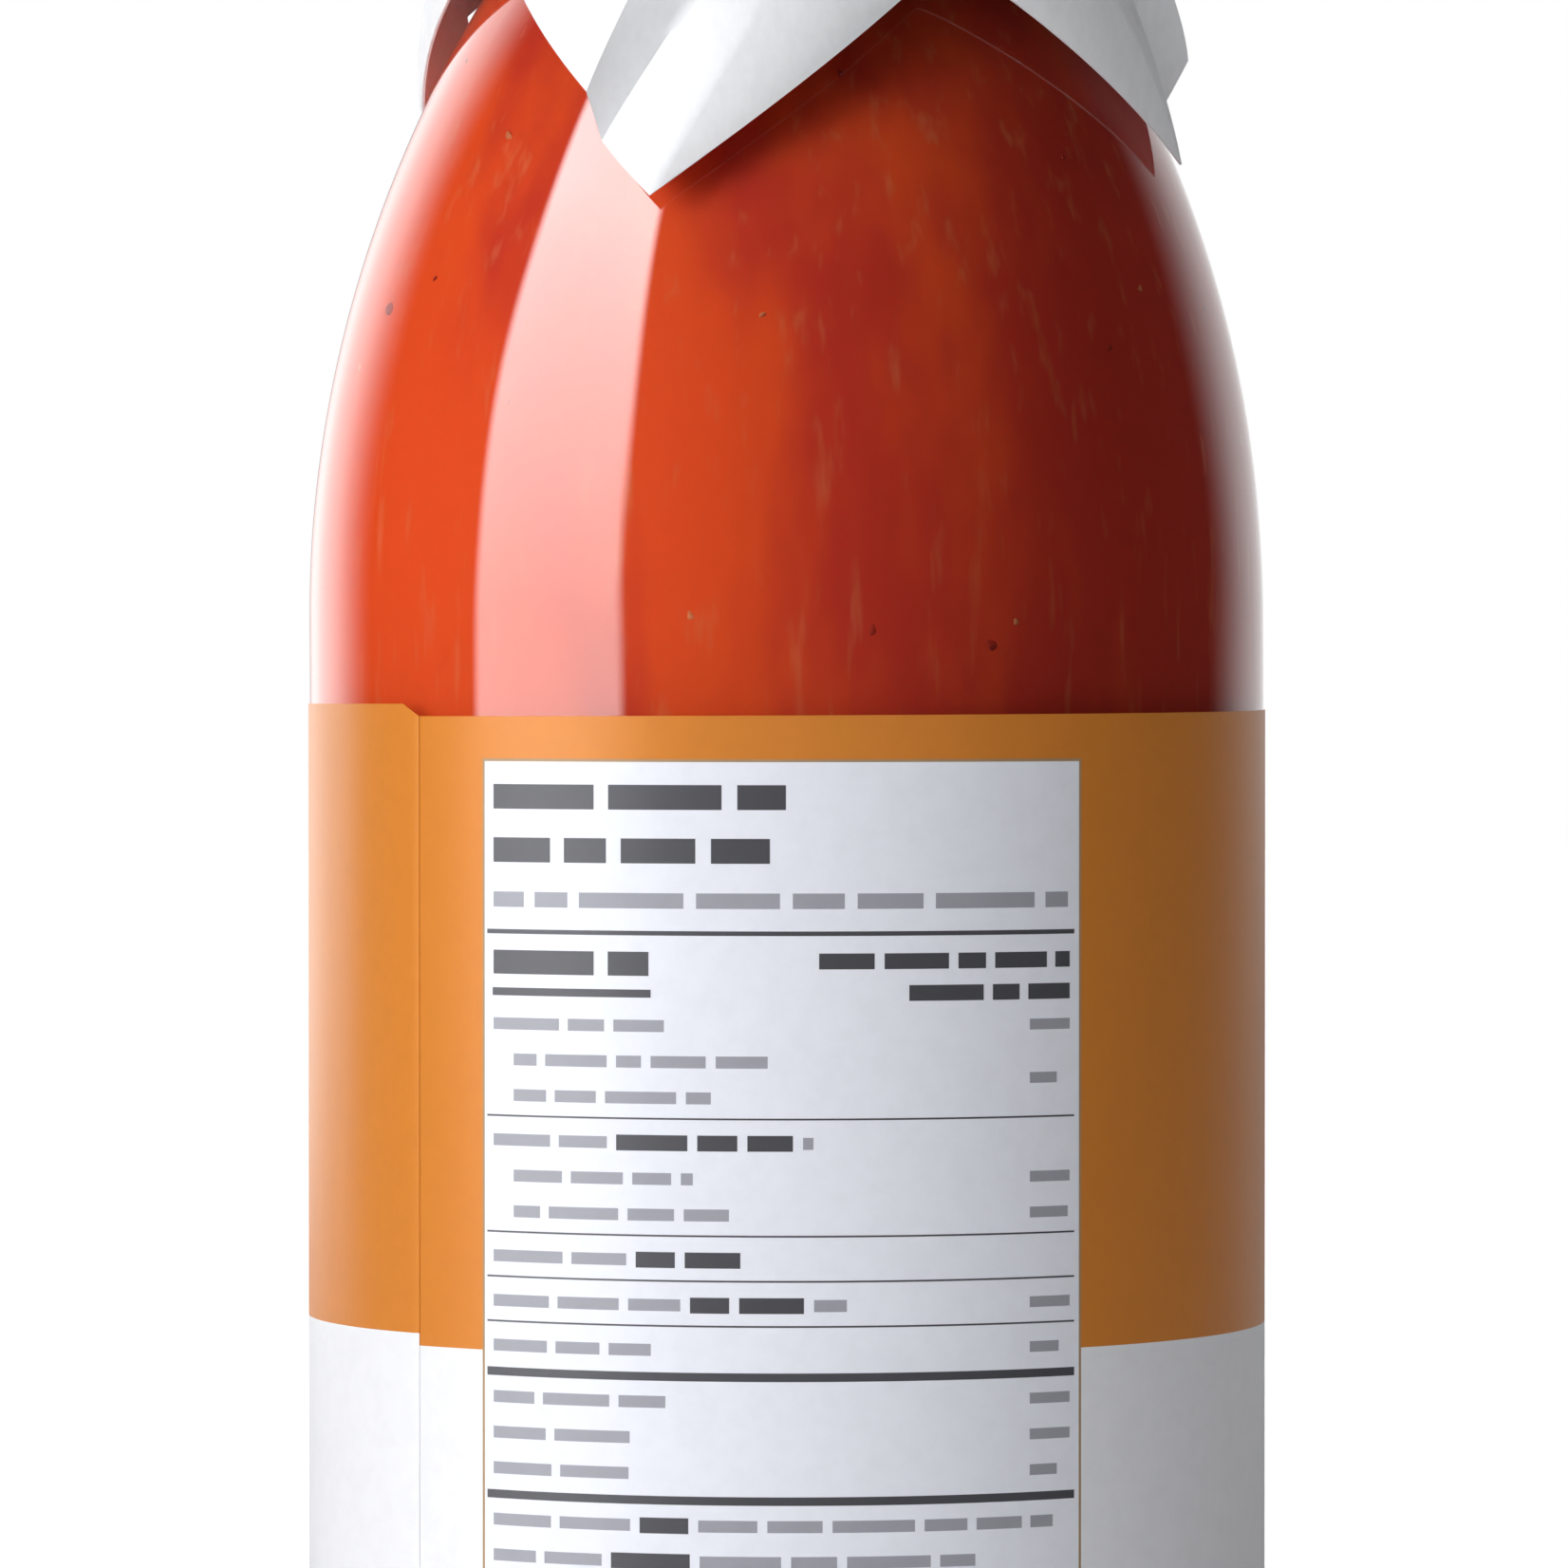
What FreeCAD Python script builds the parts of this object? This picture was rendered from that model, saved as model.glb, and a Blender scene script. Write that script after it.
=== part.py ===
import FreeCAD, Part
import math
import os

import Sketcher

# A glass jar of tomato sauce in the shape of a wide milk bottle: blown glass with a long round
# shoulder, the sauce that fills it, a wrap-round paper label, a metal screw cap and a square of
# paper draped over the cap, with one slanting pleat at each of its four hanging corners.
#
# Millimetres, +Z up. The origin is on the axis, where the jar stands. The front is -Y.

SIZES = [
    # glass
    ("body_radius", 43.8, "outside of the straight wall"),
    ("shoulder_height", 103.0, "where the straight wall turns into the shoulder"),
    ("shoulder_curve", 109.0, "radius of the shoulder's long arc"),
    ("neck_radius", 20.0, "outside of the neck"),
    ("neck_curve", 4.0, "radius of the hollow between shoulder and neck"),
    ("neck_length", 1.0, "straight neck between hollow and bead"),
    ("bead_out", 1.5, "how far the bead stands out from the neck"),
    ("bead_height", 2.4, "height of the bead"),
    ("finish_out", 0.4, "how far the cap's seat stands out from the neck"),
    ("finish_height", 9.6, "from the bead up to the lip"),
    ("lip_round", 1.1, "rounding of the lip"),
    ("glass_wall", 2.8, "thickness of wall, shoulder and neck"),
    ("glass_floor", 5.0, "thickness at the middle of the base"),
    ("glass_heel", 5.0, "thickness under the inner corner"),
    ("heel_curve", 6.5, "outer corner between base and wall"),
    ("inner_heel_curve", 8.0, "inner corner between floor and wall"),
    ("push_up", 4.0, "height of the hollow under the base"),
    ("stand_radius", 32.5, "inside of the ring that the jar stands on"),
    # sauce
    ("headspace", 17.4, "from the lip down to the sauce"),
    ("sauce_gap", 0.1, "clearance between sauce and glass"),
    # label
    ("label_bottom", 7.8, "lower edge of the label's covered end"),
    ("label_margin", 9.0, "from the shoulder down to the label's covered end"),
    ("label_paper", 0.18, "thickness of the label"),
    ("label_gap", 0.04, "glue under the label"),
    ("label_lap", 8.0, "how far the label's ends overlap"),
    ("label_rise", 1.1, "how far the label climbs in one turn"),
    ("label_seam", -48.0, "direction of the overlapping end, in degrees from the front"),
    # cap
    ("cap_height", 9.8, "height of the cap"),
    ("cap_sheet", 0.3, "thickness of the cap's metal"),
    ("cap_liner", 0.3, "sealing ring on the lip"),
    ("thread_room", 0.9, "room for the thread between glass and cap"),
    ("cap_recess", 0.9, "depth of the sunk panel in the cap's top"),
    ("cap_border", 4.2, "width of the border round the sunk panel"),
    ("cap_curl", 0.6, "how far the rolled edge stands out"),
    ("cap_curl_height", 1.6, "height of the rolled edge"),
    # paper hood
    ("hood_paper", 0.25, "thickness of the paper"),
    ("hood_gap", 0.1, "clearance between paper and cap"),
    ("hood_bend", 1.0, "radius of the paper's bend over the cap's rim"),
    ("hood_turn", -18.0, "direction of the front corner, in degrees from the front"),
    ("hood_forward", 6.4, "how far the sheet lies off-centre, towards its front corner"),
    ("hood_aside", 2.4, "how far the sheet lies off-centre, towards its right corner"),
    ("drop_side", 18.8, "from the top down to the middle of a side, for a centred sheet"),
    ("drop_ridge", 31.2, "from the top down to the foot of a pleat's ridge"),
    ("drop_valley", 35.4, "from the top down to the foot of a pleat's valley"),
    ("drop_corner", 40.0, "from the top down to the tip of a corner"),
    ("stand_off_side", 4.6, "gap from glass to paper at the middle of a side"),
    ("stand_off_ridge", 5.6, "gap from glass to paper at the ridge"),
    ("stand_off_valley", 1.2, "gap from glass to paper at the valley"),
    ("stand_off_corner", 1.6, "gap from glass to paper at the tip"),
]

# Heights that follow from the shoulder up, and radii that follow from the neck.
REACH = "(Sizes.shoulder_curve + Sizes.neck_curve)"
ASIDE = "(Sizes.neck_radius + Sizes.neck_curve - Sizes.body_radius + Sizes.shoulder_curve)"
HOLLOW = f"(Sizes.shoulder_height + sqrt({REACH}^2 - {ASIDE}^2))"
BEAD_FOOT = f"({HOLLOW} + Sizes.neck_length)"
BEAD_TOP = f"({BEAD_FOOT} + Sizes.bead_height)"
LIP = f"({BEAD_TOP} + Sizes.finish_height)"
FILL = f"({LIP} - Sizes.headspace)"
BEAD = "(Sizes.neck_radius + Sizes.bead_out)"
FINISH = "(Sizes.neck_radius + Sizes.finish_out)"
BORE = "(Sizes.neck_radius - Sizes.glass_wall)"
CAP_INSIDE = f"({FINISH} + Sizes.thread_room)"
CAP_OUTSIDE = f"({CAP_INSIDE} + Sizes.cap_sheet)"
CAP_TOP = f"({LIP} + Sizes.cap_liner + Sizes.cap_sheet)"

START, END, CENTRE = 1, 2, 3  # the points of a sketch's line or arc
ORIGIN = -1

doc = FreeCAD.newDocument("SauceJar")
size = {alias: value for alias, value, meaning in SIZES}


def fill_sheet():
    """Writes the driving dimensions into the document, one row each."""
    sheet = doc.addObject("Spreadsheet::Sheet", "Sizes")
    for row, (alias, value, meaning) in enumerate(SIZES, start=1):
        sheet.set(f"A{row}", alias)
        sheet.set(f"B{row}", str(value))
        sheet.setAlias(f"B{row}", alias)
        sheet.set(f"C{row}", meaning)
    doc.recompute()


# ---------------------------------------------------------------- sketches and features


class Section:
    """A closed half-section in a body's XZ plane: pieces are drawn near their place, then joined
    and held by constraints whose values are formulas of the named sizes."""

    def __init__(self, body, name):
        self.sketch = body.newObject("Sketcher::SketchObject", name)
        plane = next(part for part in body.Origin.OriginFeatures if part.Role == "XZ_Plane")
        self.sketch.AttachmentSupport = (plane, "")
        self.sketch.MapMode = "FlatFace"

    def line(self, start, end):
        """A straight piece between two (radius, height) points."""
        return self.sketch.addGeometry(Part.LineSegment(FreeCAD.Vector(*start, 0), FreeCAD.Vector(*end, 0)))

    def arc(self, centre, radius, first, last):
        """A round piece, anticlockwise between two angles in radians."""
        circle = Part.Circle(FreeCAD.Vector(*centre, 0), FreeCAD.Vector(0, 0, 1), radius)
        return self.sketch.addGeometry(Part.ArcOfCircle(circle, first, last))

    def join(self, kind, first, first_end, second, second_end):
        """Coincident or Tangent ends."""
        self.sketch.addConstraint(Sketcher.Constraint(kind, first, first_end, second, second_end))

    def hold(self, kind, piece, end, formula):
        """DistanceX or DistanceY of a point from the origin, bound to a formula."""
        value = evaluate(formula)
        index = self.sketch.addConstraint(Sketcher.Constraint(kind, ORIGIN, START, piece, end, value))
        self.sketch.setExpression(f"Constraints[{index}]", formula)

    def on_axis(self, piece, end):
        """The point lies on the jar's axis."""
        self.sketch.addConstraint(Sketcher.Constraint("PointOnObject", piece, end, -2))

    def radius(self, piece, formula):
        """An arc's radius, bound to a formula."""
        index = self.sketch.addConstraint(Sketcher.Constraint("Radius", piece, evaluate(formula)))
        self.sketch.setExpression(f"Constraints[{index}]", formula)

    def level(self, piece):
        """A horizontal line."""
        self.sketch.addConstraint(Sketcher.Constraint("Horizontal", piece))

    def upright(self, piece):
        """A vertical line."""
        self.sketch.addConstraint(Sketcher.Constraint("Vertical", piece))

    def corners(self, points):
        """Straight pieces through (radius formula, height formula) corners, closed."""
        places = [tuple(evaluate(formula) for formula in corner) for corner in points]
        count = len(points)
        pieces = [self.line(places[i], places[(i + 1) % count]) for i in range(count)]
        for i, (across, up) in enumerate(points):
            self.join("Coincident", pieces[i - 1], END, pieces[i], START)
            self.hold("DistanceX", pieces[i], START, across)
            self.hold("DistanceY", pieces[i], START, up)


def evaluate(formula):
    """The value of a formula of the named sizes, read through the document."""
    return float(doc.Sizes.evalExpression(formula))


def new_body(label):
    """An empty PartDesign body, labelled as its node."""
    body = doc.addObject("PartDesign::Body", label)
    body.Label = label
    body.Placement = FreeCAD.Placement()
    return body


def turn(body, kind, name, section):
    """Revolution or Groove of a half-section, once round the jar's axis."""
    feature = body.newObject(f"PartDesign::{kind}", name)
    feature.Profile = section.sketch
    feature.ReferenceAxis = (section.sketch, ["V_Axis"])
    feature.Angle = 360
    section.sketch.Visibility = False
    doc.recompute()
    return feature


def round_edges(body, name, formula, circles):
    """Fillets the round edges that lie at the given (radius, height) formulas."""
    base = body.Tip
    places = [(evaluate(radius), evaluate(height)) for radius, height in circles]
    edges = []
    for number, edge in enumerate(base.Shape.Edges, start=1):
        if edge.Degenerated or not isinstance(edge.Curve, Part.Circle):
            continue
        ring = (edge.Curve.Radius, edge.Curve.Center.z)
        if any(math.dist(ring, wanted) < 1e-4 for wanted in places):
            edges.append(f"Edge{number}")
    if len(edges) != len(places):
        raise RuntimeError(f"{name}: found {len(edges)} of {len(places)} edges")
    fillet = body.newObject("PartDesign::Fillet", name)
    fillet.Base = (base, edges)
    fillet.setExpression("Radius", formula)
    doc.recompute()


# ---------------------------------------------------------------- glass and sauce


def glass_outside(body):
    """The blown form: hollow base, heel, wall, shoulder arc, neck, bead and the cap's seat."""
    section = Section(body, "OutsideSection")
    radius, heel, curve = size["body_radius"], size["heel_curve"], size["shoulder_curve"]
    stand, push_up, neck = size["stand_radius"], size["push_up"], size["neck_radius"]
    dome = (stand**2 + push_up**2) / (2 * push_up)
    middle = (radius - curve, size["shoulder_height"])
    hollow, meet = neck_arc()
    bead, finish = evaluate(BEAD), evaluate(FINISH)
    low, high, lip = evaluate(BEAD_FOOT), evaluate(BEAD_TOP), evaluate(LIP)

    base = section.arc((0, push_up - dome), dome, math.acos(stand / dome), math.pi / 2)
    ring = section.line((stand, 0), (radius - heel, 0))
    corner = section.arc((radius - heel, heel), heel, 1.5 * math.pi, 2 * math.pi)
    wall = section.line((radius, heel), (radius, size["shoulder_height"]))
    shoulder = section.arc(middle, curve, 0, meet)
    groove = section.arc(hollow, size["neck_curve"], math.pi, math.pi + meet)
    neck_line = section.line((neck, hollow[1]), (neck, low))
    under = section.line((neck, low), (bead, low))
    side = section.line((bead, low), (bead, high))
    over = section.line((bead, high), (finish, high))
    seat = section.line((finish, high), (finish, lip))
    top = section.line((finish, lip), (0, lip))
    axis = section.line((0, lip), (0, push_up))

    section.join("Coincident", axis, END, base, END)
    section.join("Coincident", base, START, ring, START)
    section.join("Tangent", ring, END, corner, START)
    section.join("Tangent", corner, END, wall, START)
    section.join("Tangent", wall, END, shoulder, START)
    section.join("Tangent", shoulder, END, groove, END)
    section.join("Tangent", groove, START, neck_line, START)
    chain = [neck_line, under, side, over, seat, top, axis]
    for first, second in zip(chain, chain[1:]):
        section.join("Coincident", first, END, second, START)
    for piece in (ring, under, over, top):
        section.level(piece)
    for piece in (wall, neck_line, side, seat, axis):
        section.upright(piece)
    section.on_axis(base, CENTRE)
    section.on_axis(base, END)
    section.hold("DistanceY", base, END, "Sizes.push_up")
    section.hold("DistanceX", ring, START, "Sizes.stand_radius")
    section.hold("DistanceY", ring, START, "0 * Sizes.push_up")
    section.radius(corner, "Sizes.heel_curve")
    section.hold("DistanceX", wall, END, "Sizes.body_radius")
    section.hold("DistanceY", wall, END, "Sizes.shoulder_height")
    section.radius(shoulder, "Sizes.shoulder_curve")
    section.radius(groove, "Sizes.neck_curve")
    section.hold("DistanceX", neck_line, END, "Sizes.neck_radius")
    section.hold("DistanceY", neck_line, END, BEAD_FOOT)
    section.hold("DistanceX", side, START, BEAD)
    section.hold("DistanceY", side, END, BEAD_TOP)
    section.hold("DistanceX", seat, END, FINISH)
    section.hold("DistanceY", seat, END, LIP)
    return section


def neck_arc():
    """The centre (radius, height) about which the neck's hollow turns, and the direction in which
    it lies from the shoulder's centre, where the two arcs touch. Both serve inside and outside."""
    centre = size["neck_radius"] + size["neck_curve"], evaluate(HOLLOW)
    across = centre[0] - (size["body_radius"] - size["shoulder_curve"])
    return centre, math.atan2(centre[1] - size["shoulder_height"], across)


def cavity(body, name, inset_formula, top_formula):
    """The space inside the glass, from the domed floor to a top: the outside form moved in by the
    inset. The sauce uses it again with its clearance added."""
    section = Section(body, name)
    inset, top = evaluate(inset_formula), evaluate(top_formula)
    radius, bore = size["body_radius"] - inset, size["neck_radius"] - inset
    curve, hollow_curve = size["shoulder_curve"] - inset, size["neck_curve"] + inset
    gap = inset - size["glass_wall"]
    heel = size["inner_heel_curve"] - gap
    floor = size["push_up"] + size["glass_floor"] + gap
    heel_up = size["glass_heel"] + size["inner_heel_curve"]
    across, rise = radius - heel, heel_up - floor
    dome = (across**2 + rise**2 - heel**2) / (2 * (heel - rise))
    lean = math.atan2(heel_up - (floor - dome), across)
    middle = (size["body_radius"] - size["shoulder_curve"], size["shoulder_height"])
    hollow, meet = neck_arc()
    gap_formula = f"({inset_formula} - Sizes.glass_wall)"

    base = section.arc((0, floor - dome), dome, lean, math.pi / 2)
    corner = section.arc((across, heel_up), heel, math.pi + lean, 2 * math.pi)
    wall = section.line((radius, heel_up), (radius, middle[1]))
    shoulder = section.arc(middle, curve, 0, meet)
    groove = section.arc(hollow, hollow_curve, math.pi, math.pi + meet)
    neck_line = section.line((bore, hollow[1]), (bore, top))
    lid = section.line((bore, top), (0, top))
    axis = section.line((0, top), (0, floor))

    section.join("Coincident", axis, END, base, END)
    section.join("Tangent", base, START, corner, START)
    section.join("Tangent", corner, END, wall, START)
    section.join("Tangent", wall, END, shoulder, START)
    section.join("Tangent", shoulder, END, groove, END)
    section.join("Tangent", groove, START, neck_line, START)
    section.join("Coincident", neck_line, END, lid, START)
    section.join("Coincident", lid, END, axis, START)
    section.level(lid)
    for piece in (wall, neck_line, axis):
        section.upright(piece)
    section.on_axis(base, CENTRE)
    section.on_axis(base, END)
    section.hold("DistanceY", base, END, f"Sizes.push_up + Sizes.glass_floor + {gap_formula}")
    section.radius(corner, f"Sizes.inner_heel_curve - {gap_formula}")
    section.hold("DistanceY", corner, CENTRE, "Sizes.glass_heel + Sizes.inner_heel_curve")
    section.hold("DistanceX", wall, END, f"Sizes.body_radius - {inset_formula}")
    section.hold("DistanceY", wall, END, "Sizes.shoulder_height")
    section.radius(shoulder, f"Sizes.shoulder_curve - {inset_formula}")
    section.radius(groove, f"Sizes.neck_curve + {inset_formula}")
    section.hold("DistanceX", neck_line, END, f"Sizes.neck_radius - {inset_formula}")
    section.hold("DistanceY", neck_line, END, top_formula)
    return section


def glass_bottle():
    """Blown form, hollowed to an even wall, with a rounded bead and lip."""
    body = new_body("glass_bottle")
    turn(body, "Revolution", "BlownForm", glass_outside(body))
    solid = body.Shape.Volume
    inside = cavity(body, "InsideSection", "Sizes.glass_wall", f"{LIP} + Sizes.glass_wall")
    turn(body, "Groove", "Inside", inside)
    if body.Shape.Volume > 0.6 * solid:
        raise RuntimeError("glass_bottle: the inside wasn't cut")
    round_edges(body, "BeadRound", "Sizes.bead_height / 3", [(BEAD, BEAD_FOOT), (BEAD, BEAD_TOP)])
    round_edges(body, "LipRound", "Sizes.lip_round", [(FINISH, LIP), (BORE, LIP)])
    return body


def tomato_sauce():
    """What fills the glass, up to a level surface in the neck."""
    body = new_body("tomato_sauce")
    inset = "(Sizes.glass_wall + Sizes.sauce_gap)"
    turn(body, "Revolution", "Filling", cavity(body, "FillingSection", inset, LIP))
    full = body.Shape.Volume
    sketch = body.newObject("Sketcher::SketchObject", "LevelSketch")
    plane = next(part for part in body.Origin.OriginFeatures if part.Role == "XY_Plane")
    sketch.AttachmentSupport = (plane, "")
    sketch.MapMode = "FlatFace"
    sketch.setExpression("AttachmentOffset.Base.z", FILL)
    upward = FreeCAD.Vector(0, 0, 1)
    circle = sketch.addGeometry(Part.Circle(FreeCAD.Vector(0, 0, 0), upward, size["body_radius"]))
    sketch.addConstraint(Sketcher.Constraint("Coincident", circle, CENTRE, ORIGIN, START))
    index = sketch.addConstraint(Sketcher.Constraint("Radius", circle, size["body_radius"]))
    sketch.setExpression(f"Constraints[{index}]", "Sizes.body_radius")
    level = body.newObject("PartDesign::Pocket", "Level")
    level.Profile = sketch
    level.Type = "ThroughAll"
    level.Reversed = True
    sketch.Visibility = False
    doc.recompute()
    bore = size["neck_radius"] - evaluate(inset)
    expected = math.pi * bore**2 * size["headspace"]
    if not 0.9 * expected < full - body.Shape.Volume < 1.6 * expected:
        raise RuntimeError("tomato_sauce: the level cut the wrong side")
    return body


def shoulder_radius(height):
    """Outside radius of the glass at a height on the wall or shoulder."""
    above = max(0.0, height - size["shoulder_height"])
    curve = size["shoulder_curve"]
    return size["body_radius"] - curve + math.sqrt(curve**2 - above**2)


# ---------------------------------------------------------------- cap


def screw_cap():
    """A pressed metal cap: sunk panel, straight skirt and rolled edge, seated on the lip."""
    body = new_body("screw_cap")
    inner, outer, seat, top = CAP_INSIDE, CAP_OUTSIDE, LIP, CAP_TOP
    foot = f"({top} - Sizes.cap_height)"
    panel = f"{outer} - Sizes.cap_border"
    section = Section(body, "CapSection")
    section.corners(
        [
            ("0 * Sizes.cap_sheet", f"{top} - Sizes.cap_recess"),
            (f"{panel} - Sizes.cap_recess", f"{top} - Sizes.cap_recess"),
            (panel, top),
            (outer, top),
            (outer, f"{foot} + Sizes.cap_curl_height"),
            (f"{outer} + Sizes.cap_curl", f"{foot} + Sizes.cap_curl_height"),
            (f"{outer} + Sizes.cap_curl", foot),
            (inner, foot),
            (inner, seat),
            (f"{panel} - Sizes.cap_sheet", seat),
            (f"{panel} - Sizes.cap_recess - Sizes.cap_sheet", f"{top} - Sizes.cap_recess - Sizes.cap_sheet"),
            ("0 * Sizes.cap_sheet", f"{top} - Sizes.cap_recess - Sizes.cap_sheet"),
        ]
    )
    turn(body, "Revolution", "PressedSheet", section)
    round_edges(body, "RimRound", "Sizes.hood_bend - Sizes.hood_gap", [(outer, top)])
    curl = f"{outer} + Sizes.cap_curl"
    curl_top = f"{foot} + Sizes.cap_curl_height"
    round_edges(body, "CurlRound", "Sizes.cap_curl_height / 3", [(curl, foot), (curl, curl_top)])
    return body


# ---------------------------------------------------------------- paper pieces


def place(radius, turned, height):
    """The point at a radius and height, turned by degrees from the front."""
    angle = math.radians(turned)
    return FreeCAD.Vector(radius * math.sin(angle), -radius * math.cos(angle), height)


def paper_solid(outer, inner, closed):
    """A closed solid between two grids of points, rows by columns, that lie one thickness apart.
    A closed grid joins its last column to its first; its first row is then one point, a pole."""
    rows, columns = len(outer), len(outer[0])
    points = [point for grid in (outer, inner) for row in grid for point in row]
    facets = []

    def index(side, row, column):
        return (side * rows + row) * columns + column % columns

    def quad(a, b, c, d):
        facets.append((a, b, c))
        facets.append((a, c, d))

    spans = columns if closed else columns - 1
    for row in range(rows - 1):
        for column in range(spans):
            for side in (0, 1):
                here = [index(side, row, column), index(side, row, column + 1)]
                below = [index(side, row + 1, column + 1), index(side, row + 1, column)]
                quad(*(here + below if side == 0 else reversed(here + below)))
    for column in range(spans):
        hem = index(0, rows - 1, column), index(0, rows - 1, column + 1)
        quad(*reversed(hem), index(1, rows - 1, column), index(1, rows - 1, column + 1))
        if not closed:
            head = index(0, 0, column), index(0, 0, column + 1)
            quad(*head, index(1, 0, column + 1), index(1, 0, column))
    if not closed:
        for row in range(rows - 1):
            first = index(0, row, 0), index(0, row + 1, 0)
            quad(*first, index(1, row + 1, 0), index(1, row, 0))
            last = index(0, row + 1, columns - 1), index(0, row, columns - 1)
            quad(*last, index(1, row, columns - 1), index(1, row + 1, columns - 1))
    return sew(points, facets)


def sew(points, facets):
    """One solid from triangles, facing outwards."""
    shape = Part.Shape()
    shape.makeShapeFromMesh((points, facets), 1e-5)
    solid = Part.makeSolid(shape.Shells[0] if shape.Shells else shape)
    if solid.Volume < 0:
        solid.reverse()
    return solid


def feature(label, shape):
    """A labelled object that holds a computed shape."""
    made = doc.addObject("Part::Feature", label)
    made.Label = label
    made.Shape = shape
    made.Placement = FreeCAD.Placement()
    return made


def ease(share):
    """0 to 1 with level ends."""
    return share * share * (3 - 2 * share)


def label():
    """A strip wound once round the wall. It climbs a little as it goes, so its outer end lies
    higher than the covered end. Just before the overlap it lifts by its own thickness, in as long
    a stretch as the overlap itself."""
    skin = size["body_radius"] + size["label_gap"]
    lap = math.degrees(size["label_lap"] / skin)
    start, end = size["label_seam"] - lap, size["label_seam"] + 360
    steps = 130
    height = size["shoulder_height"] - size["label_margin"] - size["label_bottom"]

    def lift(turned):
        into = (turned - (end - 2 * lap)) / lap
        return (size["label_paper"] + size["label_gap"]) * ease(min(1.0, max(0.0, into)))

    def column(turned, radius):
        low = size["label_bottom"] + size["label_rise"] * (turned - start) / 360
        return [place(radius, turned, low + height), place(radius, turned, low)]

    turns = [start + (end - start) * step / steps for step in range(steps + 1)]
    inner = [column(turned, skin + lift(turned)) for turned in turns]
    outer = [column(turned, skin + lift(turned) + size["label_paper"]) for turned in turns]
    return feature("label", paper_solid(list(zip(*outer)), list(zip(*inner)), False))


def hood_folds():
    """The hanging paper's fold lines from the middle of one side, over a corner with its pleat, to
    the next side, as (turn at the rim, turn at the hem, drop, hem's gap to the glass). The pleat's
    lines slant from the rim."""
    drop_side, gap_side = size["drop_side"], size["stand_off_side"]
    return {
        "side": (-45.0, -45.0, drop_side, gap_side),
        "ridge": (13.0, -8.7, size["drop_ridge"], size["stand_off_ridge"]),
        "valley": (31.0, -8.4, size["drop_valley"], size["stand_off_valley"]),
        "corner": (38.0, 0.0, size["drop_corner"], size["stand_off_corner"]),
        "next side": (45.0, 45.0, drop_side, gap_side),
    }


def hem_lines(mirrored):
    """One quarter's columns of hanging paper, each (turn at the rim, turn at the hem, drop, gap),
    without the line that starts the next quarter. Between two folds, the drop and gap ease by
    their own powers, so that the sides arch and the free corner stays flat. Mirrored puts the
    pleat on the corner's other side."""
    folds = hood_folds()
    panels = [
        ("side", "ridge", 8, lambda f: f**1.5, lambda f: f**2.2),
        ("ridge", "valley", 2, lambda f: f, lambda f: f),
        ("valley", "corner", 2, lambda f: f, lambda f: f),
        ("corner", "next side", 9, lambda f: 1 - (1 - f) ** 1.15, lambda f: f**1.5),
    ]
    lines = []
    for first, last, count, drop_ease, gap_ease in panels:
        a, b = folds[first], folds[last]
        for step in range(count):
            share = step / count
            powers = (share, share, drop_ease(share), gap_ease(share))
            lines.append(tuple(x + (y - x) * power for x, y, power in zip(a, b, powers)))
    lines.append(folds["next side"])
    if mirrored:
        lines = [(-rim_turn, -hem_turn, drop, gap) for rim_turn, hem_turn, drop, gap in reversed(lines)]
    return lines[:-1]


def hood_column(line, quarter, inset, top, rim):
    """One column of the hood from the middle of its top to its hem, `inset` inside its outer face:
    flat to the rim, a bend, then paper that flares at first and hangs steeper below. It hangs
    lower on the sides towards which the sheet lies off-centre."""
    rim_turn, hem_turn, centred_drop, stand_off = line
    around = math.radians(90 * quarter + hem_turn)
    drop = centred_drop + size["hood_forward"] * math.cos(around) + size["hood_aside"] * math.sin(around)
    bend = size["hood_bend"] + size["hood_paper"]
    hem = shoulder_radius(top - drop) + stand_off + size["hood_paper"]
    turned = size["hood_turn"] + 90 * quarter
    points = [place(0, 0, top - inset)]
    for step in range(3):
        angle = math.radians(90 - 30 * step)
        reach, rise = (bend - inset) * math.cos(angle), (bend - inset) * math.sin(angle)
        points.append(place(rim - bend + reach, turned + rim_turn, top - bend + rise))
    rows = 8
    for step in range(1, rows + 1):
        share = step / rows
        radius = rim + (hem - rim) * (1 - (1 - share) ** 1.6) - inset
        way = turned + rim_turn + (hem_turn - rim_turn) * share
        points.append(place(radius, way, top - bend - (drop - bend) * share))
    return points


def paper_hood():
    """A square of paper over the cap: flat on top, bent over the rim and hanging to four corners.
    The right and back corners' pleats lie on their far sides."""
    rim = evaluate(CAP_OUTSIDE) + size["hood_gap"] + size["hood_paper"]
    top = evaluate(CAP_TOP) + size["hood_gap"] + size["hood_paper"]
    grids = []
    for inset in (0.0, size["hood_paper"]):
        columns = []
        for quarter, mirrored in enumerate((False, True, True, False)):
            columns += [hood_column(line, quarter, inset, top, rim) for line in hem_lines(mirrored)]
        grids.append(list(zip(*columns)))
    return feature("paper_hood", paper_solid(*grids, True))


# ---------------------------------------------------------------- the jar


def check(parts):
    """Stops on any failed feature or unsound solid."""
    for item in doc.Objects:
        if {"Invalid", "Error"} & set(item.State):
            raise RuntimeError(f"{item.Label} failed: {item.State}")
    for part in parts:
        shape = part.Shape
        if shape.isNull() or not shape.isValid() or len(shape.Solids) != 1 or shape.Volume <= 0:
            raise RuntimeError(f"{part.Label}: not one sound solid")


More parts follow.
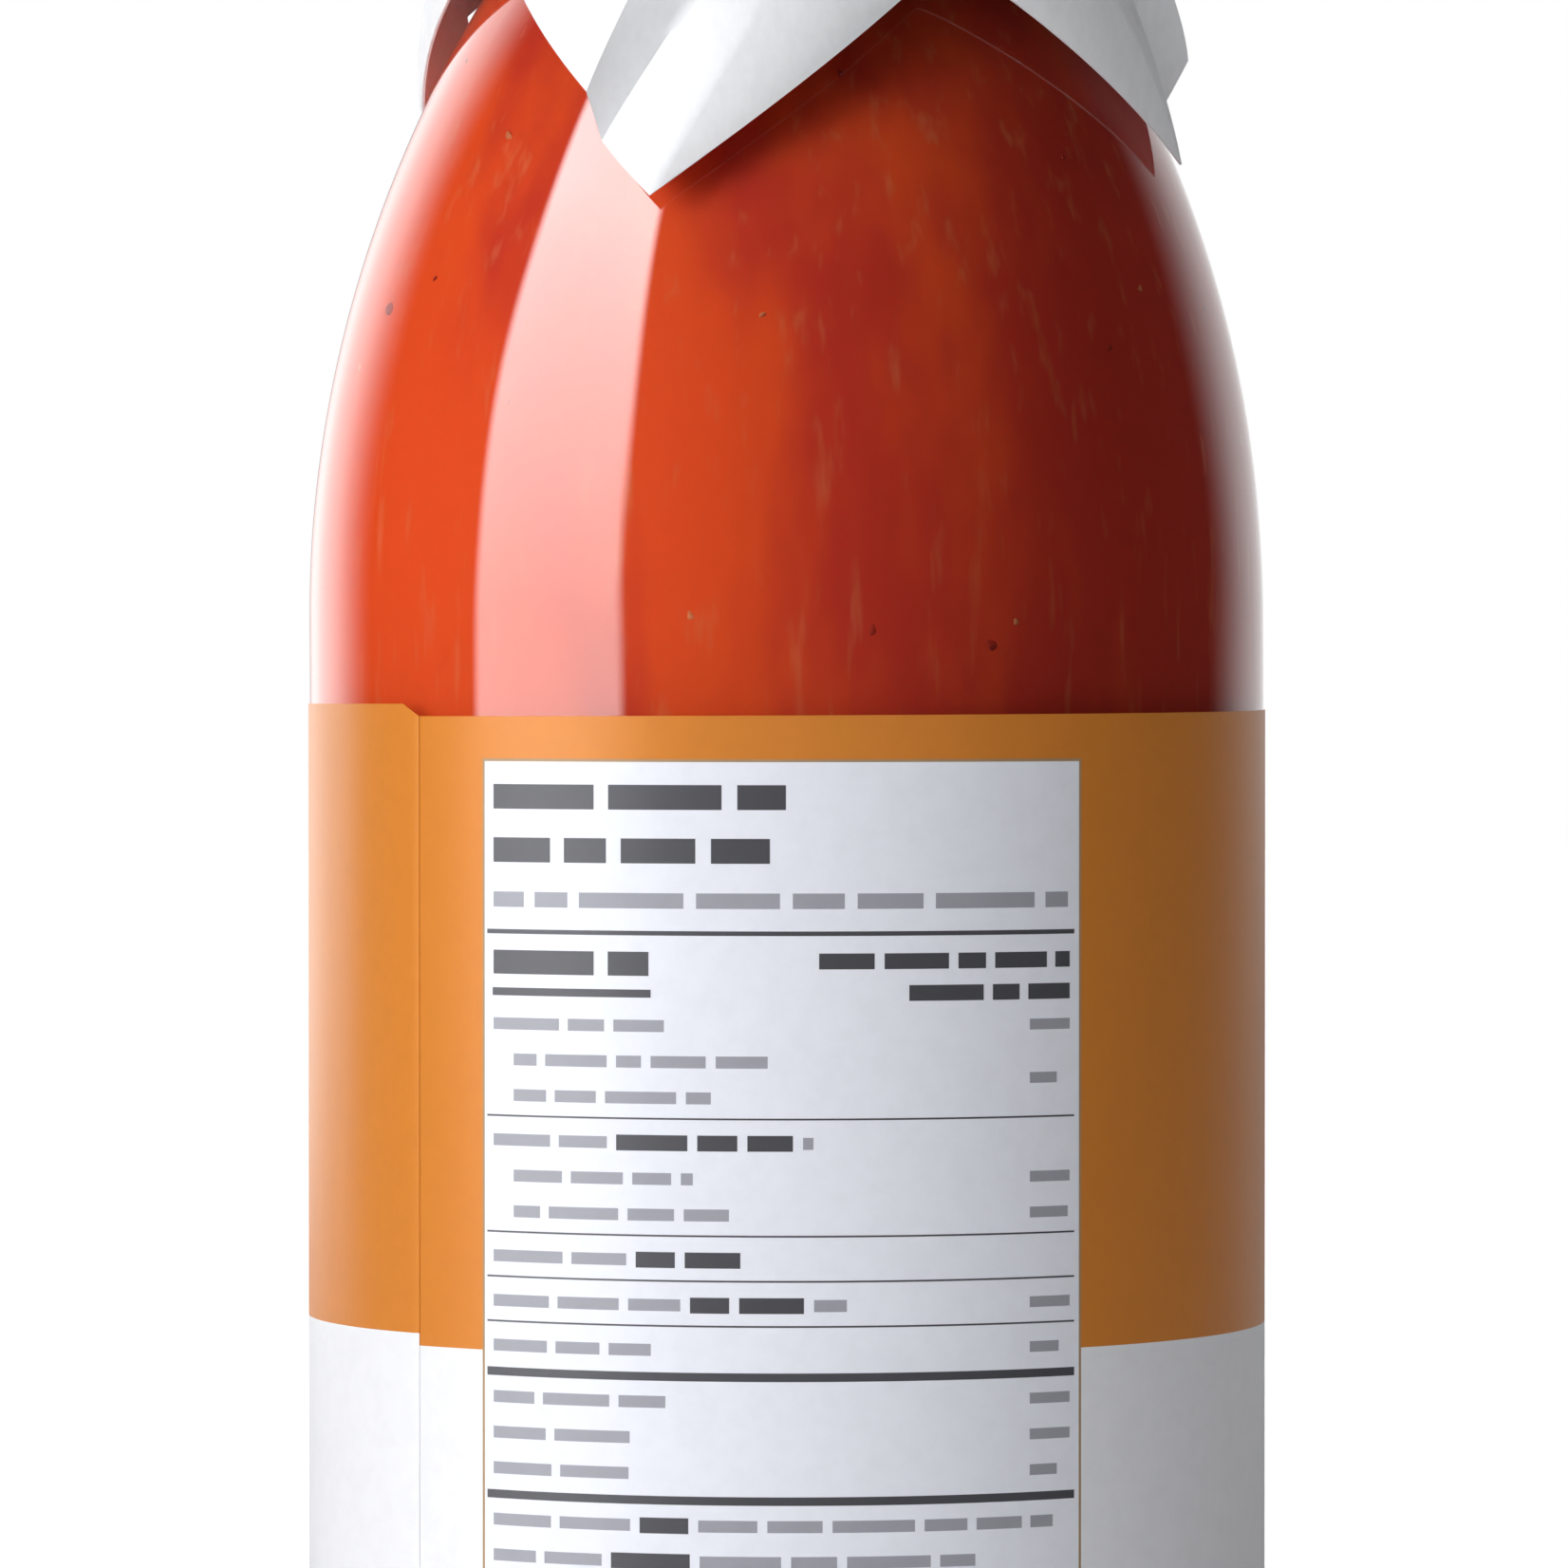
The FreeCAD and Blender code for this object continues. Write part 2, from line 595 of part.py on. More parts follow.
def main():
    fill_sheet()
    parts = [glass_bottle(), tomato_sauce(), label(), screw_cap(), paper_hood()]
    doc.recompute()
    check(parts)
    os.makedirs("parts", exist_ok=True)
    for part in parts:
        part.Shape.exportStep(f"parts/{part.Label}.step")
        print(part.Label, round(part.Shape.Volume / 1000, 2), "mL", part.Shape.BoundBox)


main()
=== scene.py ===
import math

import bpy
import numpy as np
from bpy.props import FloatProperty, FloatVectorProperty, IntProperty, PointerProperty
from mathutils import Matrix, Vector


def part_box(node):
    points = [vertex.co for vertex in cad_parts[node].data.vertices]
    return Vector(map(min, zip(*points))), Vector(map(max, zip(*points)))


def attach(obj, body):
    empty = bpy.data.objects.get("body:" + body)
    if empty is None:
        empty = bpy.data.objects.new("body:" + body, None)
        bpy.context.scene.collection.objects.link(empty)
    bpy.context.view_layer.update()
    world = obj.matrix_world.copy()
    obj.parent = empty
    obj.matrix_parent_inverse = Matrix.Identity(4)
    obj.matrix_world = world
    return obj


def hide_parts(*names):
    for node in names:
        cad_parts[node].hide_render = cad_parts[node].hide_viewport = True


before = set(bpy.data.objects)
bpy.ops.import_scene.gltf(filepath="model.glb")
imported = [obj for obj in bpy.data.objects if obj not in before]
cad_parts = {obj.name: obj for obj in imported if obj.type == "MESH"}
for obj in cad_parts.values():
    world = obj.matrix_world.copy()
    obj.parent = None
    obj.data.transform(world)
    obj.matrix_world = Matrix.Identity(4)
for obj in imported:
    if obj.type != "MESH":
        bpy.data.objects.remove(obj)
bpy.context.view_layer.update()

bl_info = {
    "name": "Tomato sauce jar",
    "version": (1, 0, 0),
    "blender": (4, 5, 0),
    "location": "3D View > Sidebar > Sauce jar",
    "description": "Glass, sauce, printed label, paper hood and studio for a jar of tomato sauce",
    "category": "Add Mesh",
}

# A clear glass jar of tomato sauce with a paper label and a square of paper draped over its cap.
# Metres, +Z up, the jar's axis is Z, its printed table faces -Y. Directions round the jar are
# degrees from the front (-Y) towards +X. Points of a profile are (radius, height).

MM = 0.001
GLASS_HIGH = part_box("glass_bottle")[1]
SAUCE_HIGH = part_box("tomato_sauce")[1]
LABEL_LOW, LABEL_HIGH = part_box("label")
HOOD_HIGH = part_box("paper_hood")[1]


def linear(hex_code):
    """An sRGB hex colour as linear red, green and blue."""
    values = [int(hex_code[i : i + 2], 16) / 255 for i in (1, 3, 5)]
    return tuple(v / 12.92 if v <= 0.04045 else ((v + 0.055) / 1.055) ** 2.4 for v in values)


def length(name, default, description):
    """A length in metres, shown with its unit."""
    return FloatProperty(
        name=name, description=description, default=default, unit="LENGTH", precision=5
    )


def degrees(name, default, description):
    """A direction round the jar, given in degrees."""
    return FloatProperty(
        name=name, description=description, default=math.radians(default), subtype="ANGLE"
    )


def strength(name, default, description):
    """A brightness, of which 1 shows as white."""
    return FloatProperty(name=name, description=description, default=default, min=0.0)


def colour(name, hex_code, description):
    """A colour, kept linear."""
    return FloatVectorProperty(
        name=name, description=description, default=linear(hex_code), subtype="COLOR", size=3
    )


class JarSizes(bpy.types.PropertyGroup):
    body_radius: length("Body radius", GLASS_HIGH.x, "Outside of the straight glass wall")
    lip_height: length("Lip height", GLASS_HIGH.z, "Top of the glass")
    shoulder_height: length(
        "Shoulder height", 103.0 * MM, "Where the straight wall turns into the shoulder"
    )
    shoulder_curve: length("Shoulder curve", 109.0 * MM, "Radius of the shoulder's long arc")
    neck_radius: length("Neck radius", 20.0 * MM, "Outside of the neck")
    neck_curve: length("Neck curve", 4.0 * MM, "Radius of the hollow between shoulder and neck")
    neck_length: length("Neck length", 1.0 * MM, "Straight neck between hollow and bead")
    bead_radius: length("Bead radius", 21.5 * MM, "Outside of the bead under the cap")
    bead_height: length("Bead height", 2.4 * MM, "Height of the bead")
    finish_radius: length("Finish radius", 20.4 * MM, "Outside of the wall inside the cap")
    wall: length("Glass wall", 2.8 * MM, "Thickness of wall, shoulder and neck")
    floor: length("Glass floor", 5.0 * MM, "Thickness at the middle of the base")
    heel_thickness: length("Heel thickness", 5.0 * MM, "Glass under the inner corner")
    heel_curve: length("Heel curve", 6.5 * MM, "Outer corner between base and wall")
    inner_heel_curve: length("Inner heel curve", 8.0 * MM, "Inner corner between floor and wall")
    push_up: length("Push-up", 4.0 * MM, "Height of the hollow under the base")
    stand_radius: length("Stand radius", 32.5 * MM, "Inside of the ring that the jar stands on")
    wobble: length("Wobble", 0.035 * MM, "How uneven the blown shoulder is")
    wetting: length(
        "Wetting", 0.12 * MM, "How far the sauce reaches into the wall, so that no air shows"
    )
    skin_flecks: IntProperty(
        name="Skin flecks", description="Bits of tomato skin against the glass", default=22, min=1
    )
    seed_flecks: IntProperty(
        name="Seed flecks", description="Bits of seed against the glass", default=30, min=1
    )


class LabelSizes(bpy.types.PropertyGroup):
    radius: length("Radius", GLASS_HIGH.x + 0.04 * MM, "Inside of the label")
    paper: length("Paper", 0.11 * MM, "Thickness of the label")
    glue: length("Glue", 0.04 * MM, "Gap under the overlapping end")
    bottom: length("Bottom", LABEL_LOW.z, "Lower edge of the covered end")
    height: length("Height", 86.2 * MM, "Height of the paper")
    lap: length("Lap", 8.0 * MM, "How far the ends overlap")
    rise: length("Rise", 1.1 * MM, "How far the label climbs in one turn")
    pressed: length(
        "Pressed end", 1.2 * MM, "How far from its outer end the paper is pressed thin"
    )
    clipped: length(
        "Clipped corner", 1.1 * MM, "Height of the clipped corner, which is twice as long"
    )
    band: length("Band", 56.0 * MM, "Height of the orange field, down from the upper edge")
    seam: degrees("Seam", -48.0, "Direction of the overlapping end")
    table_left: degrees("Table left", -37.4, "Left side of the printed table")
    table_right: degrees("Table right", 35.9, "Right side of the printed table")
    table_top: length("Table top", 90.1 * MM, "Upper side of the printed table")
    table_bottom: length("Table bottom", 18.2 * MM, "Lower side of the printed table")
    ink: length("Ink", 0.015 * MM, "Thickness of a printed layer")
    outline: length("Outline", 0.25 * MM, "Width of the table's thin outline")


class HoodSizes(bpy.types.PropertyGroup):
    paper: length("Paper", 0.25 * MM, "Thickness of the paper")
    gap: length("Gap", 0.1 * MM, "Clearance between paper and cap")
    bend: length("Bend", 1.0 * MM, "Radius of the bend over the cap's rim")
    cap_radius: length("Cap radius", 21.6 * MM, "Outside of the cap's skirt")
    turned: degrees("Turned", -18.0, "Direction of the front corner")
    forward: length(
        "Forward", 6.4 * MM, "How far the sheet lies off-centre, towards its front corner"
    )
    aside: length(
        "Aside", 2.4 * MM, "How far the sheet lies off-centre, towards its right corner"
    )
    drop_side: length(
        "Side drop", 18.8 * MM, "From the top to the middle of a side, for a centred sheet"
    )
    drop_ridge: length("Ridge drop", 31.2 * MM, "From the top to the foot of a pleat's ridge")
    drop_valley: length("Valley drop", 35.4 * MM, "From the top to the foot of a pleat's valley")
    drop_corner: length("Corner drop", 40.0 * MM, "From the top to a corner's tip")
    off_side: length("Side gap", 4.6 * MM, "From glass to paper at the middle of a side")
    off_ridge: length("Ridge gap", 5.6 * MM, "From glass to paper at a ridge")
    off_valley: length("Valley gap", 1.2 * MM, "From glass to paper at a valley")
    off_corner: length("Corner gap", 1.6 * MM, "From glass to paper at a tip")


class JarColours(bpy.types.PropertyGroup):
    glass: colour("Glass", "#F9FCFB", "What clear glass passes")
    sauce: colour("Sauce", "#EC5727", "Puréed tomato")
    # Deep sauce: random clouds of redder sauce, and also painted shade, as the sauce is mixed more
    # towards it on the jar's right side.
    sauce_deep_and_shade: colour("Deep sauce", "#CC3C2B", "Redder, thicker sauce")
    skin: colour("Skin", "#B03222", "Flecks of tomato skin")
    seed: colour("Seed", "#E58A5C", "Seeds and pale pulp")
    orange: colour("Orange", "#D48029", "The label's orange field")
    white: colour("White", "#F2F3F8", "Bare label paper")
    panel: colour("Table paper", "#F0F3FC", "The printed table's field")
    keyline: colour("Keyline", "#A98A66", "The table's thin outline")
    ink: colour("Ink", "#4A4A50", "Dark print")
    grey: colour("Grey ink", "#A0A1AA", "Fine print")
    hood: colour("Hood", "#F4F5F8", "The hood's paper")
    lacquer: colour("Lacquer", "#ECEBE6", "The cap's lacquer")


class StudioSizes(bpy.types.PropertyGroup):
    key_turn: degrees("Key", -52.0, "Direction of the soft box at the front")
    key_power: strength("Key power", 5.0, "Radiance of the soft box at the front")
    rim_turn: degrees("Rim", 140.0, "Direction of the soft box behind")
    rim_power: strength("Rim power", 0.8, "Radiance of the soft box behind")
    room_turn: degrees("Room", -30.0, "Direction that most of the room's light comes from")
    room_light: strength("Room light", 1.22, "The room at its brightest")
    room_dark: strength("Room dark", 0.07, "The room on the other side and at right angles")
    eye_distance: length("Camera distance", 879.0 * MM, "From the jar's axis to the camera")
    eye_height: length("Camera height", 99.5 * MM, "Height of the camera")
    eye_aside: length("Camera aside", -0.26 * MM, "How far right of the axis the camera is")
    aim_height: length("Aim height", 87.6 * MM, "Height on the axis that the camera looks at")
    focal: FloatProperty(
        name="Focal length", description="For a sensor 36 mm wide", default=219.4, unit="CAMERA"
    )


# ---------------------------------------------------------------- meshes


def round_jar(radius, turned, height):
    """Points at a radius, direction and height, all arrays of one shape: x = r sin a,
    y = -r cos a."""
    return np.stack([radius * np.sin(turned), -radius * np.cos(turned), height], axis=-1)


def grid_quads(rows, columns, wrap, start=0):
    """Quads of a grid of points, row after row; wrap joins the last column to the first."""
    across = np.arange(columns if wrap else columns - 1)
    row, column = np.meshgrid(np.arange(rows - 1), across, indexing="ij")
    here = row * columns + column
    right = row * columns + (column + 1) % columns
    quads = np.stack([here, right, right + columns, here + columns], axis=-1)
    return quads.reshape(-1, 4) + start


def revolved(profile, turns):
    """A profile that starts and ends on the axis, turned once round: x = r sin a, y = -r cos a.
    The ends close in fans."""
    inner = profile[1:-1]
    angle = np.linspace(0, 2 * np.pi, turns, endpoint=False)
    points = round_jar(inner[:, None, 0], angle[None], np.repeat(inner[:, None, 1], turns, axis=1))
    poles = np.array([[0, 0, profile[0, 1]], [0, 0, profile[-1, 1]]])
    verts = np.concatenate([points.reshape(-1, 3), poles])
    around = np.arange(turns)
    after = (around + 1) % turns
    last = (len(inner) - 1) * turns
    first_fan = np.stack([after, around, np.full(turns, len(verts) - 2)], axis=-1)
    last_fan = np.stack([last + around, last + after, np.full(turns, len(verts) - 1)], axis=-1)
    return verts, [grid_quads(len(inner), turns, True), first_fan, last_fan]


def walled(outer, inner):
    """A closed plate between two grids of points (rows, columns, 3): both faces and four edges."""
    rows, columns = outer.shape[:2]
    verts = np.concatenate([outer.reshape(-1, 3), inner.reshape(-1, 3)])
    other = rows * columns
    faces = [grid_quads(rows, columns, False), grid_quads(rows, columns, False, other)[:, ::-1]]
    index = np.arange(rows * columns).reshape(rows, columns)
    for edge in (index[0, ::-1], index[-1], index[:, 0], index[::-1, -1]):
        faces.append(
            np.stack([edge[:-1], edge[:-1] + other, edge[1:] + other, edge[1:]], axis=-1)
        )
    return verts, faces


def outward(verts, faces):
    """The faces turned so that the closed mesh holds a positive volume: the sum of a . (b x c)
    over its triangles."""
    volume = 0.0
    for block in faces:
        a = verts[block[:, 0]]
        for k in range(1, block.shape[1] - 1):
            normal = np.cross(verts[block[:, k]], verts[block[:, k + 1]])
            volume += np.einsum("ij,ij->i", a, normal).sum()
    return faces if volume > 0 else [block[:, ::-1] for block in faces]


def made(name, parts, materials, slots=None, sharp=40):
    """One object from (verts, faces) parts, each closed and turned outwards. slots gives each
    part's material, or a function of its face centres. Edges sharper than `sharp` degrees stay
    hard."""
    verts, faces, marks, start = [], [], [], 0
    for number, (points, blocks) in enumerate(parts):
        for block in outward(points, blocks):
            faces += (block + start).tolist()
            if callable(slots):
                marks.append(slots(points[block].mean(axis=1)))
            else:
                marks.append(np.full(len(block), 0 if slots is None else slots[number]))
        verts.append(points)
        start += len(points)
    mesh = bpy.data.meshes.new(name)
    mesh.from_pydata(np.concatenate(verts).tolist(), [], faces)
    mesh.polygons.foreach_set("material_index", np.concatenate(marks).astype(np.int32))
    mesh.shade_smooth()
    mesh.set_sharp_from_angle(angle=math.radians(sharp))
    for material in materials:
        mesh.materials.append(material)
    mesh.update()
    return placed(name, mesh)


def placed(name, data):
    """A mesh, lamp or camera as an object of the scene."""
    thing = bpy.data.objects.new(name, data)
    bpy.context.scene.collection.objects.link(thing)
    return thing


def flat_sheet(name, corners, material):
    """A single face with a material, for the floor and the cards."""
    mesh = bpy.data.meshes.new(name)
    mesh.from_pydata(corners, [], [(0, 1, 2, 3)])
    mesh.materials.append(material)
    return placed(name, mesh)


def settle(piece, slot, *nodes):
    """Rides the jar's one body and hides the CAD nodes that it stands for. Its slot is not used.
    """
    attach(piece, "root")
    if nodes:
        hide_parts(*nodes)


def arc(centre, radius, start, end, count):
    """Points on a circle in a profile, from one angle to another in radians."""
    angle = np.linspace(start, end, count)
    across, up = centre[0] + radius * np.cos(angle), centre[1] + radius * np.sin(angle)
    return np.stack([across, up], axis=-1)


def rounded(points, curve, count=6):
    """A corner path whose inner corners become quadratic curves, (1-t)^2 near + 2t(1-t) corner +
    t^2 far, that start `curve` away."""
    path = [np.array(points[0])]
    for before, corner, after in zip(points, points[1:], points[2:]):
        before, corner, after = np.array(before), np.array(corner), np.array(after)
        near = corner + (before - corner) / np.linalg.norm(before - corner) * curve
        far = corner + (after - corner) / np.linalg.norm(after - corner) * curve
        share = np.linspace(0, 1, count)[:, None]
        path += list((1 - share) ** 2 * near + 2 * share * (1 - share) * corner + share**2 * far)
    path.append(np.array(points[-1]))
    return np.array(path)


# ---------------------------------------------------------------- materials


def add_node(tree, kind, settings=(), inputs=()):
    """Adds a node, sets its properties, and gives its inputs values or other nodes' outputs."""
    node = tree.nodes.new(kind)
    for name, value in dict(settings).items():
        setattr(node, name, value)
    for name, given in dict(inputs).items():
        if isinstance(given, bpy.types.NodeSocket):
            tree.links.new(given, node.inputs[name])
        else:
            node.inputs[name].default_value = given
    return node


def new_material(name):
    """An empty node material and its tree."""
    material = bpy.data.materials.new(name)
    material.use_nodes = True
    material.node_tree.nodes.clear()
    return material, material.node_tree


def opaque(values):
    """A linear colour with full alpha."""
    return (*values[:3], 1.0)


WHITE = opaque(linear("#FFFFFF"))


def pattern(tree, lump, detail=2.0, rough=0.5, tall=1.0):
    """Noise on the piece's own coordinates, in lumps about `lump` wide and 1 / tall times as
    high."""
    place = add_node(tree, "ShaderNodeTexCoord").outputs["Object"]
    stretch = {"Scale": (1.0, 1.0, tall), "Vector": place}
    drawn = add_node(tree, "ShaderNodeMapping", inputs=stretch).outputs[0]
    lumps = {"Scale": 1 / lump, "Detail": detail, "Roughness": rough, "Vector": drawn}
    return add_node(tree, "ShaderNodeTexNoise", inputs=lumps).outputs["Fac"]


def stained(tree, share, low, high, first, second, most=1.0):
    """The first colour, with up to `most` of the second mixed in as the share rises smoothly
    from low to high."""
    rise = {"From Min": low, "From Max": high, "To Max": most, "Value": share}
    step = add_node(tree, "ShaderNodeMapRange", {"interpolation_type": "SMOOTHSTEP"}, rise)
    ends = {0: step.outputs["Result"], 6: first, 7: second}
    return add_node(tree, "ShaderNodeMix", {"data_type": "RGBA"}, ends).outputs[2]


def clouded_material(name, shade, darkest, edges, noise, tooth, finish):
    """A finish that clouds down to `darkest` of its colour where the noise rises between two
    edges. The same noise is its tooth: the strength and depth of a bump."""
    material, tree = new_material(name)
    lumps = pattern(tree, **noise)
    darker = tuple(value * darkest for value in shade)
    base = stained(tree, lumps, *edges, opaque(shade), opaque(darker))
    inputs = {**finish, "Base Color": base}
    if tooth:
        relief = {"Strength": tooth[0], "Distance": tooth[1], "Height": lumps}
        inputs["Normal"] = add_node(tree, "ShaderNodeBump", inputs=relief).outputs[0]
    shader = add_node(tree, "ShaderNodeBsdfPrincipled", inputs=inputs)
    add_node(tree, "ShaderNodeOutputMaterial", inputs={"Surface": shader.outputs[0]})
    return material


def glass_material(colours):
    """Soda-lime glass, blown in a mould: clear, even and mirror-smooth, with the faintest green.
    Lamps pass it unbent, so that the sauce behind it is lit without noise, and each face keeps
    3 % of their light."""
    material, tree = new_material("soda_lime_glass_blown")
    clear = {
        "Base Color": opaque(colours.glass),
        "Transmission Weight": 1.0,
        "IOR": 1.5,
        "Roughness": 0.0,
    }
    passed = {"Color": opaque([0.97] * 3)}
    glass = add_node(tree, "ShaderNodeBsdfPrincipled", inputs=clear)
    lamp_side = add_node(tree, "ShaderNodeBsdfTransparent", inputs=passed)
    path = add_node(tree, "ShaderNodeLightPath")
    sides = {0: path.outputs["Is Shadow Ray"], 1: glass.outputs[0], 2: lamp_side.outputs[0]}
    mix = add_node(tree, "ShaderNodeMixShader", inputs=sides)
    add_node(tree, "ShaderNodeOutputMaterial", inputs={"Surface": mix.outputs[0]})
    return material


def sauce_material(colours):
    """Tomato, cooked and puréed: dense wet pulp in broad clouds 14 mm wide, with pale threads 1.7
    mm wide that filling has drawn upwards. Painted light and shade: the colour leans more orange
    towards the left, where the key light falls, and deeper red towards the right, which is in
    shade."""
    material, tree = new_material("tomato_puree_cooked")
    clouds = pattern(tree, 14 * MM, 3.0, 0.55, 0.35)
    place = add_node(tree, "ShaderNodeTexCoord").outputs["Object"]
    side = add_node(tree, "ShaderNodeSeparateXYZ", inputs={0: place}).outputs[0]
    # Painted shade: across the jar, the sauce's colour leans from its orange on the left to the
    # deep red on the right, as light falls from the left.
    across = {
        "From Min": -38 * MM,
        "From Max": 30 * MM,
        "To Min": -0.2,
        "To Max": 0.22,
        "Value": side,
    }
    lean = add_node(tree, "ShaderNodeMapRange", inputs=across).outputs["Result"]
    # Random clouds of deeper sauce, plus the painted shade across the jar.
    both = {0: clouds, 1: lean}
    painted_shade_and_clouds = add_node(tree, "ShaderNodeMath", {"operation": "ADD"}, both).outputs[0]
    sauce, deep_and_painted_shade = opaque(colours.sauce), opaque(colours.sauce_deep_and_shade)
    sauce_clouds_and_painted_shade = stained(tree, painted_shade_and_clouds, 0.36, 0.68, sauce, deep_and_painted_shade)
    threads = pattern(tree, 1.7 * MM, 2.0, 0.6, 0.16)
    base = stained(tree, threads, 0.56, 0.80, sauce_clouds_and_painted_shade, opaque(colours.seed), most=0.35)
    fleshy = {
        "Base Color": base,
        "Roughness": 0.42,
        "IOR": 1.35,
        "Specular IOR Level": 0.12,
        "Subsurface Weight": 0.12,
        "Subsurface Radius": (2.4 * MM, 0.9 * MM, 0.5 * MM),
        "Subsurface Scale": 1.0,
    }
    shader = add_node(tree, "ShaderNodeBsdfPrincipled", inputs=fleshy)
    add_node(tree, "ShaderNodeOutputMaterial", inputs={"Surface": shader.outputs[0]})
    return material


def fleck_material(name, shade):
    """Bits in the sauce, cut small by the sieve and wet: a colour that clouds in spots 0.8 mm
    wide."""
    wet = {"Roughness": 0.5, "Specular IOR Level": 0.15}
    return clouded_material(name, shade, 0.72, (0.35, 0.7), {"lump": 0.8 * MM}, None, wet)


def print_material(name, shade, roughness):
    """Label paper, clay-coated and offset-printed: a satin face, with fibres that cloud the ink
    very slightly and a fine tooth that breaks up the gloss. Fibre clumps are 2.2 mm wide."""
    fibre = {"lump": 2.2 * MM, "detail": 4.0, "rough": 0.65}
    satin = {"Roughness": roughness, "Specular IOR Level": 0.4}
    return clouded_material(name, shade, 0.97, (0.35, 0.7), fibre, (0.08, 0.02 * MM), satin)


def hood_material(colours):
    """Wrapping paper, bleached and calendered: soft white with long fibres, in clumps 1.2 mm
    wide, that show as faint clouds and a light tooth."""
    fibre = {"lump": 1.2 * MM, "detail": 5.0, "rough": 0.7, "tall": 0.5}
    soft = {"Roughness": 0.62, "Specular IOR Level": 0.3}
    name, tooth = "wrapping_paper_bleached", (0.15, 0.04 * MM)
    return clouded_material(name, colours.hood, 0.95, (0.3, 0.72), fibre, tooth, soft)


def cap_material(colours):
    """Tinplate, lacquered and stove-baked: smooth, with a faint orange-peel ripple 0.9 mm wide."""
    peel = {"lump": 0.9 * MM, "detail": 1.0}
    baked = {"Roughness": 0.3, "Coat Weight": 0.4, "Coat Roughness": 0.1}
    name, tooth = "tinplate_lacquered", (0.1, 0.02 * MM)
    return clouded_material(name, colours.lacquer, 0.93, (0.4, 0.7), peel, tooth, baked)


# ---------------------------------------------------------------- glass and sauce

# Steps along the profiles and round the axis.
BASE_STEPS, HEEL_STEPS, INNER_HEEL_STEPS, WALL_STEPS = 24, 12, 14, 40
SHOULDER_STEPS, GROOVE_STEPS = 90, 10
GLASS_TURNS, SAUCE_TURNS, FLAKE_STEPS = 256, 192, 18
FLECK_SEED = 11

# The blown shoulder's waves: strength, number round the jar, height in which they turn by one
# radian, and start.
BLOWN_WAVES = ((1.0, 3, 9 * MM, 0.0), (0.7, 7, -14 * MM, 1.3), (0.5, 11, 6 * MM, 2.1))


def hollow_centre(sizes):
    """Centre of the neck's hollow arc, which touches the shoulder's arc and the neck: the two
    arcs' centres are the sum of their radii apart."""
    across = sizes.neck_radius + sizes.neck_curve
    reach = sizes.shoulder_curve + sizes.neck_curve
    side = across - (sizes.body_radius - sizes.shoulder_curve)
    return np.array([across, sizes.shoulder_height + math.sqrt(reach**2 - side**2)])


def shoulder_line(sizes, inset):
    """Wall top, shoulder arc and neck hollow, `inset` inside the outside form, from the bottom
    up."""
    middle = np.array([sizes.body_radius - sizes.shoulder_curve, sizes.shoulder_height])
    hollow = hollow_centre(sizes)
    meet = math.atan2(*(hollow - middle)[::-1])
    shoulder = arc(middle, sizes.shoulder_curve - inset, 0, meet, SHOULDER_STEPS)
    groove = arc(hollow, sizes.neck_curve + inset, math.pi + meet, math.pi, GROOVE_STEPS)
    return np.concatenate([shoulder, groove[1:]])


def shoulder_radius(sizes, height):
    """Outside radius of wall and shoulder: body - curve + the root of curve^2 - (height above
    the wall)^2."""
    above = np.maximum(0.0, height - sizes.shoulder_height)
    return sizes.body_radius - sizes.shoulder_curve + np.sqrt(sizes.shoulder_curve**2 - above**2)


def straight(sizes, radius, low):
    """The straight wall in a profile, without its end points."""
    return np.linspace((radius, low), (radius, sizes.shoulder_height), WALL_STEPS)[1:-1]


def outside_line(sizes):
    """The glass outside: hollow base, stand ring, heel, wall, shoulder, neck, bead and lip. The
    base is part of a sphere of radius (stand^2 + push-up^2) / (2 push-up)."""
    dome = (sizes.stand_radius**2 + sizes.push_up**2) / (2 * sizes.push_up)
    rim = math.acos(sizes.stand_radius / dome)
    base = arc((0, sizes.push_up - dome), dome, math.pi / 2, rim, BASE_STEPS)
    heel_at = (sizes.body_radius - sizes.heel_curve, sizes.heel_curve)
    heel = arc(heel_at, sizes.heel_curve, 1.5 * math.pi, 2 * math.pi, HEEL_STEPS)
    wall = straight(sizes, sizes.body_radius, sizes.heel_curve)
    neck_top = hollow_centre(sizes)[1]
    foot = neck_top + sizes.neck_length
    top = foot + sizes.bead_height
    bore, inside_neck = sizes.neck_radius - sizes.wall, 3 * MM
    bead = rounded(
        [
            (sizes.neck_radius, neck_top),
            (sizes.neck_radius, foot),
            (sizes.bead_radius, foot),
            (sizes.bead_radius, top),
            (sizes.finish_radius, top),
            (sizes.finish_radius, sizes.lip_height),
            (bore, sizes.lip_height),
            (bore, sizes.lip_height - inside_neck),
        ],
        curve=0.45 * MM,
    )
    return np.concatenate([base, heel, wall, shoulder_line(sizes, 0.0), bead[1:]])


def inside_line(sizes, inset):
    """The space inside the glass from its floor to the neck's hollow, for walls `inset` thick.
    Its floor is part of a sphere that touches the inner heel's arc."""
    gap = inset - sizes.wall
    heel = sizes.inner_heel_curve - gap
    floor = sizes.push_up + sizes.floor + gap
    heel_up = sizes.heel_thickness + sizes.inner_heel_curve
    radius = sizes.body_radius - inset
    across, rise = radius - heel, heel_up - floor
    dome = (across**2 + rise**2 - heel**2) / (2 * (heel - rise))
    lean = math.atan2(heel_up - (floor - dome), across)
    base = arc((0, floor - dome), dome, math.pi / 2, lean, BASE_STEPS)
    corner = arc((across, heel_up), heel, math.pi + lean, 2 * math.pi, INNER_HEEL_STEPS)
    wall = straight(sizes, radius, heel_up)
    return np.concatenate([base, corner[1:], wall, shoulder_line(sizes, inset)])


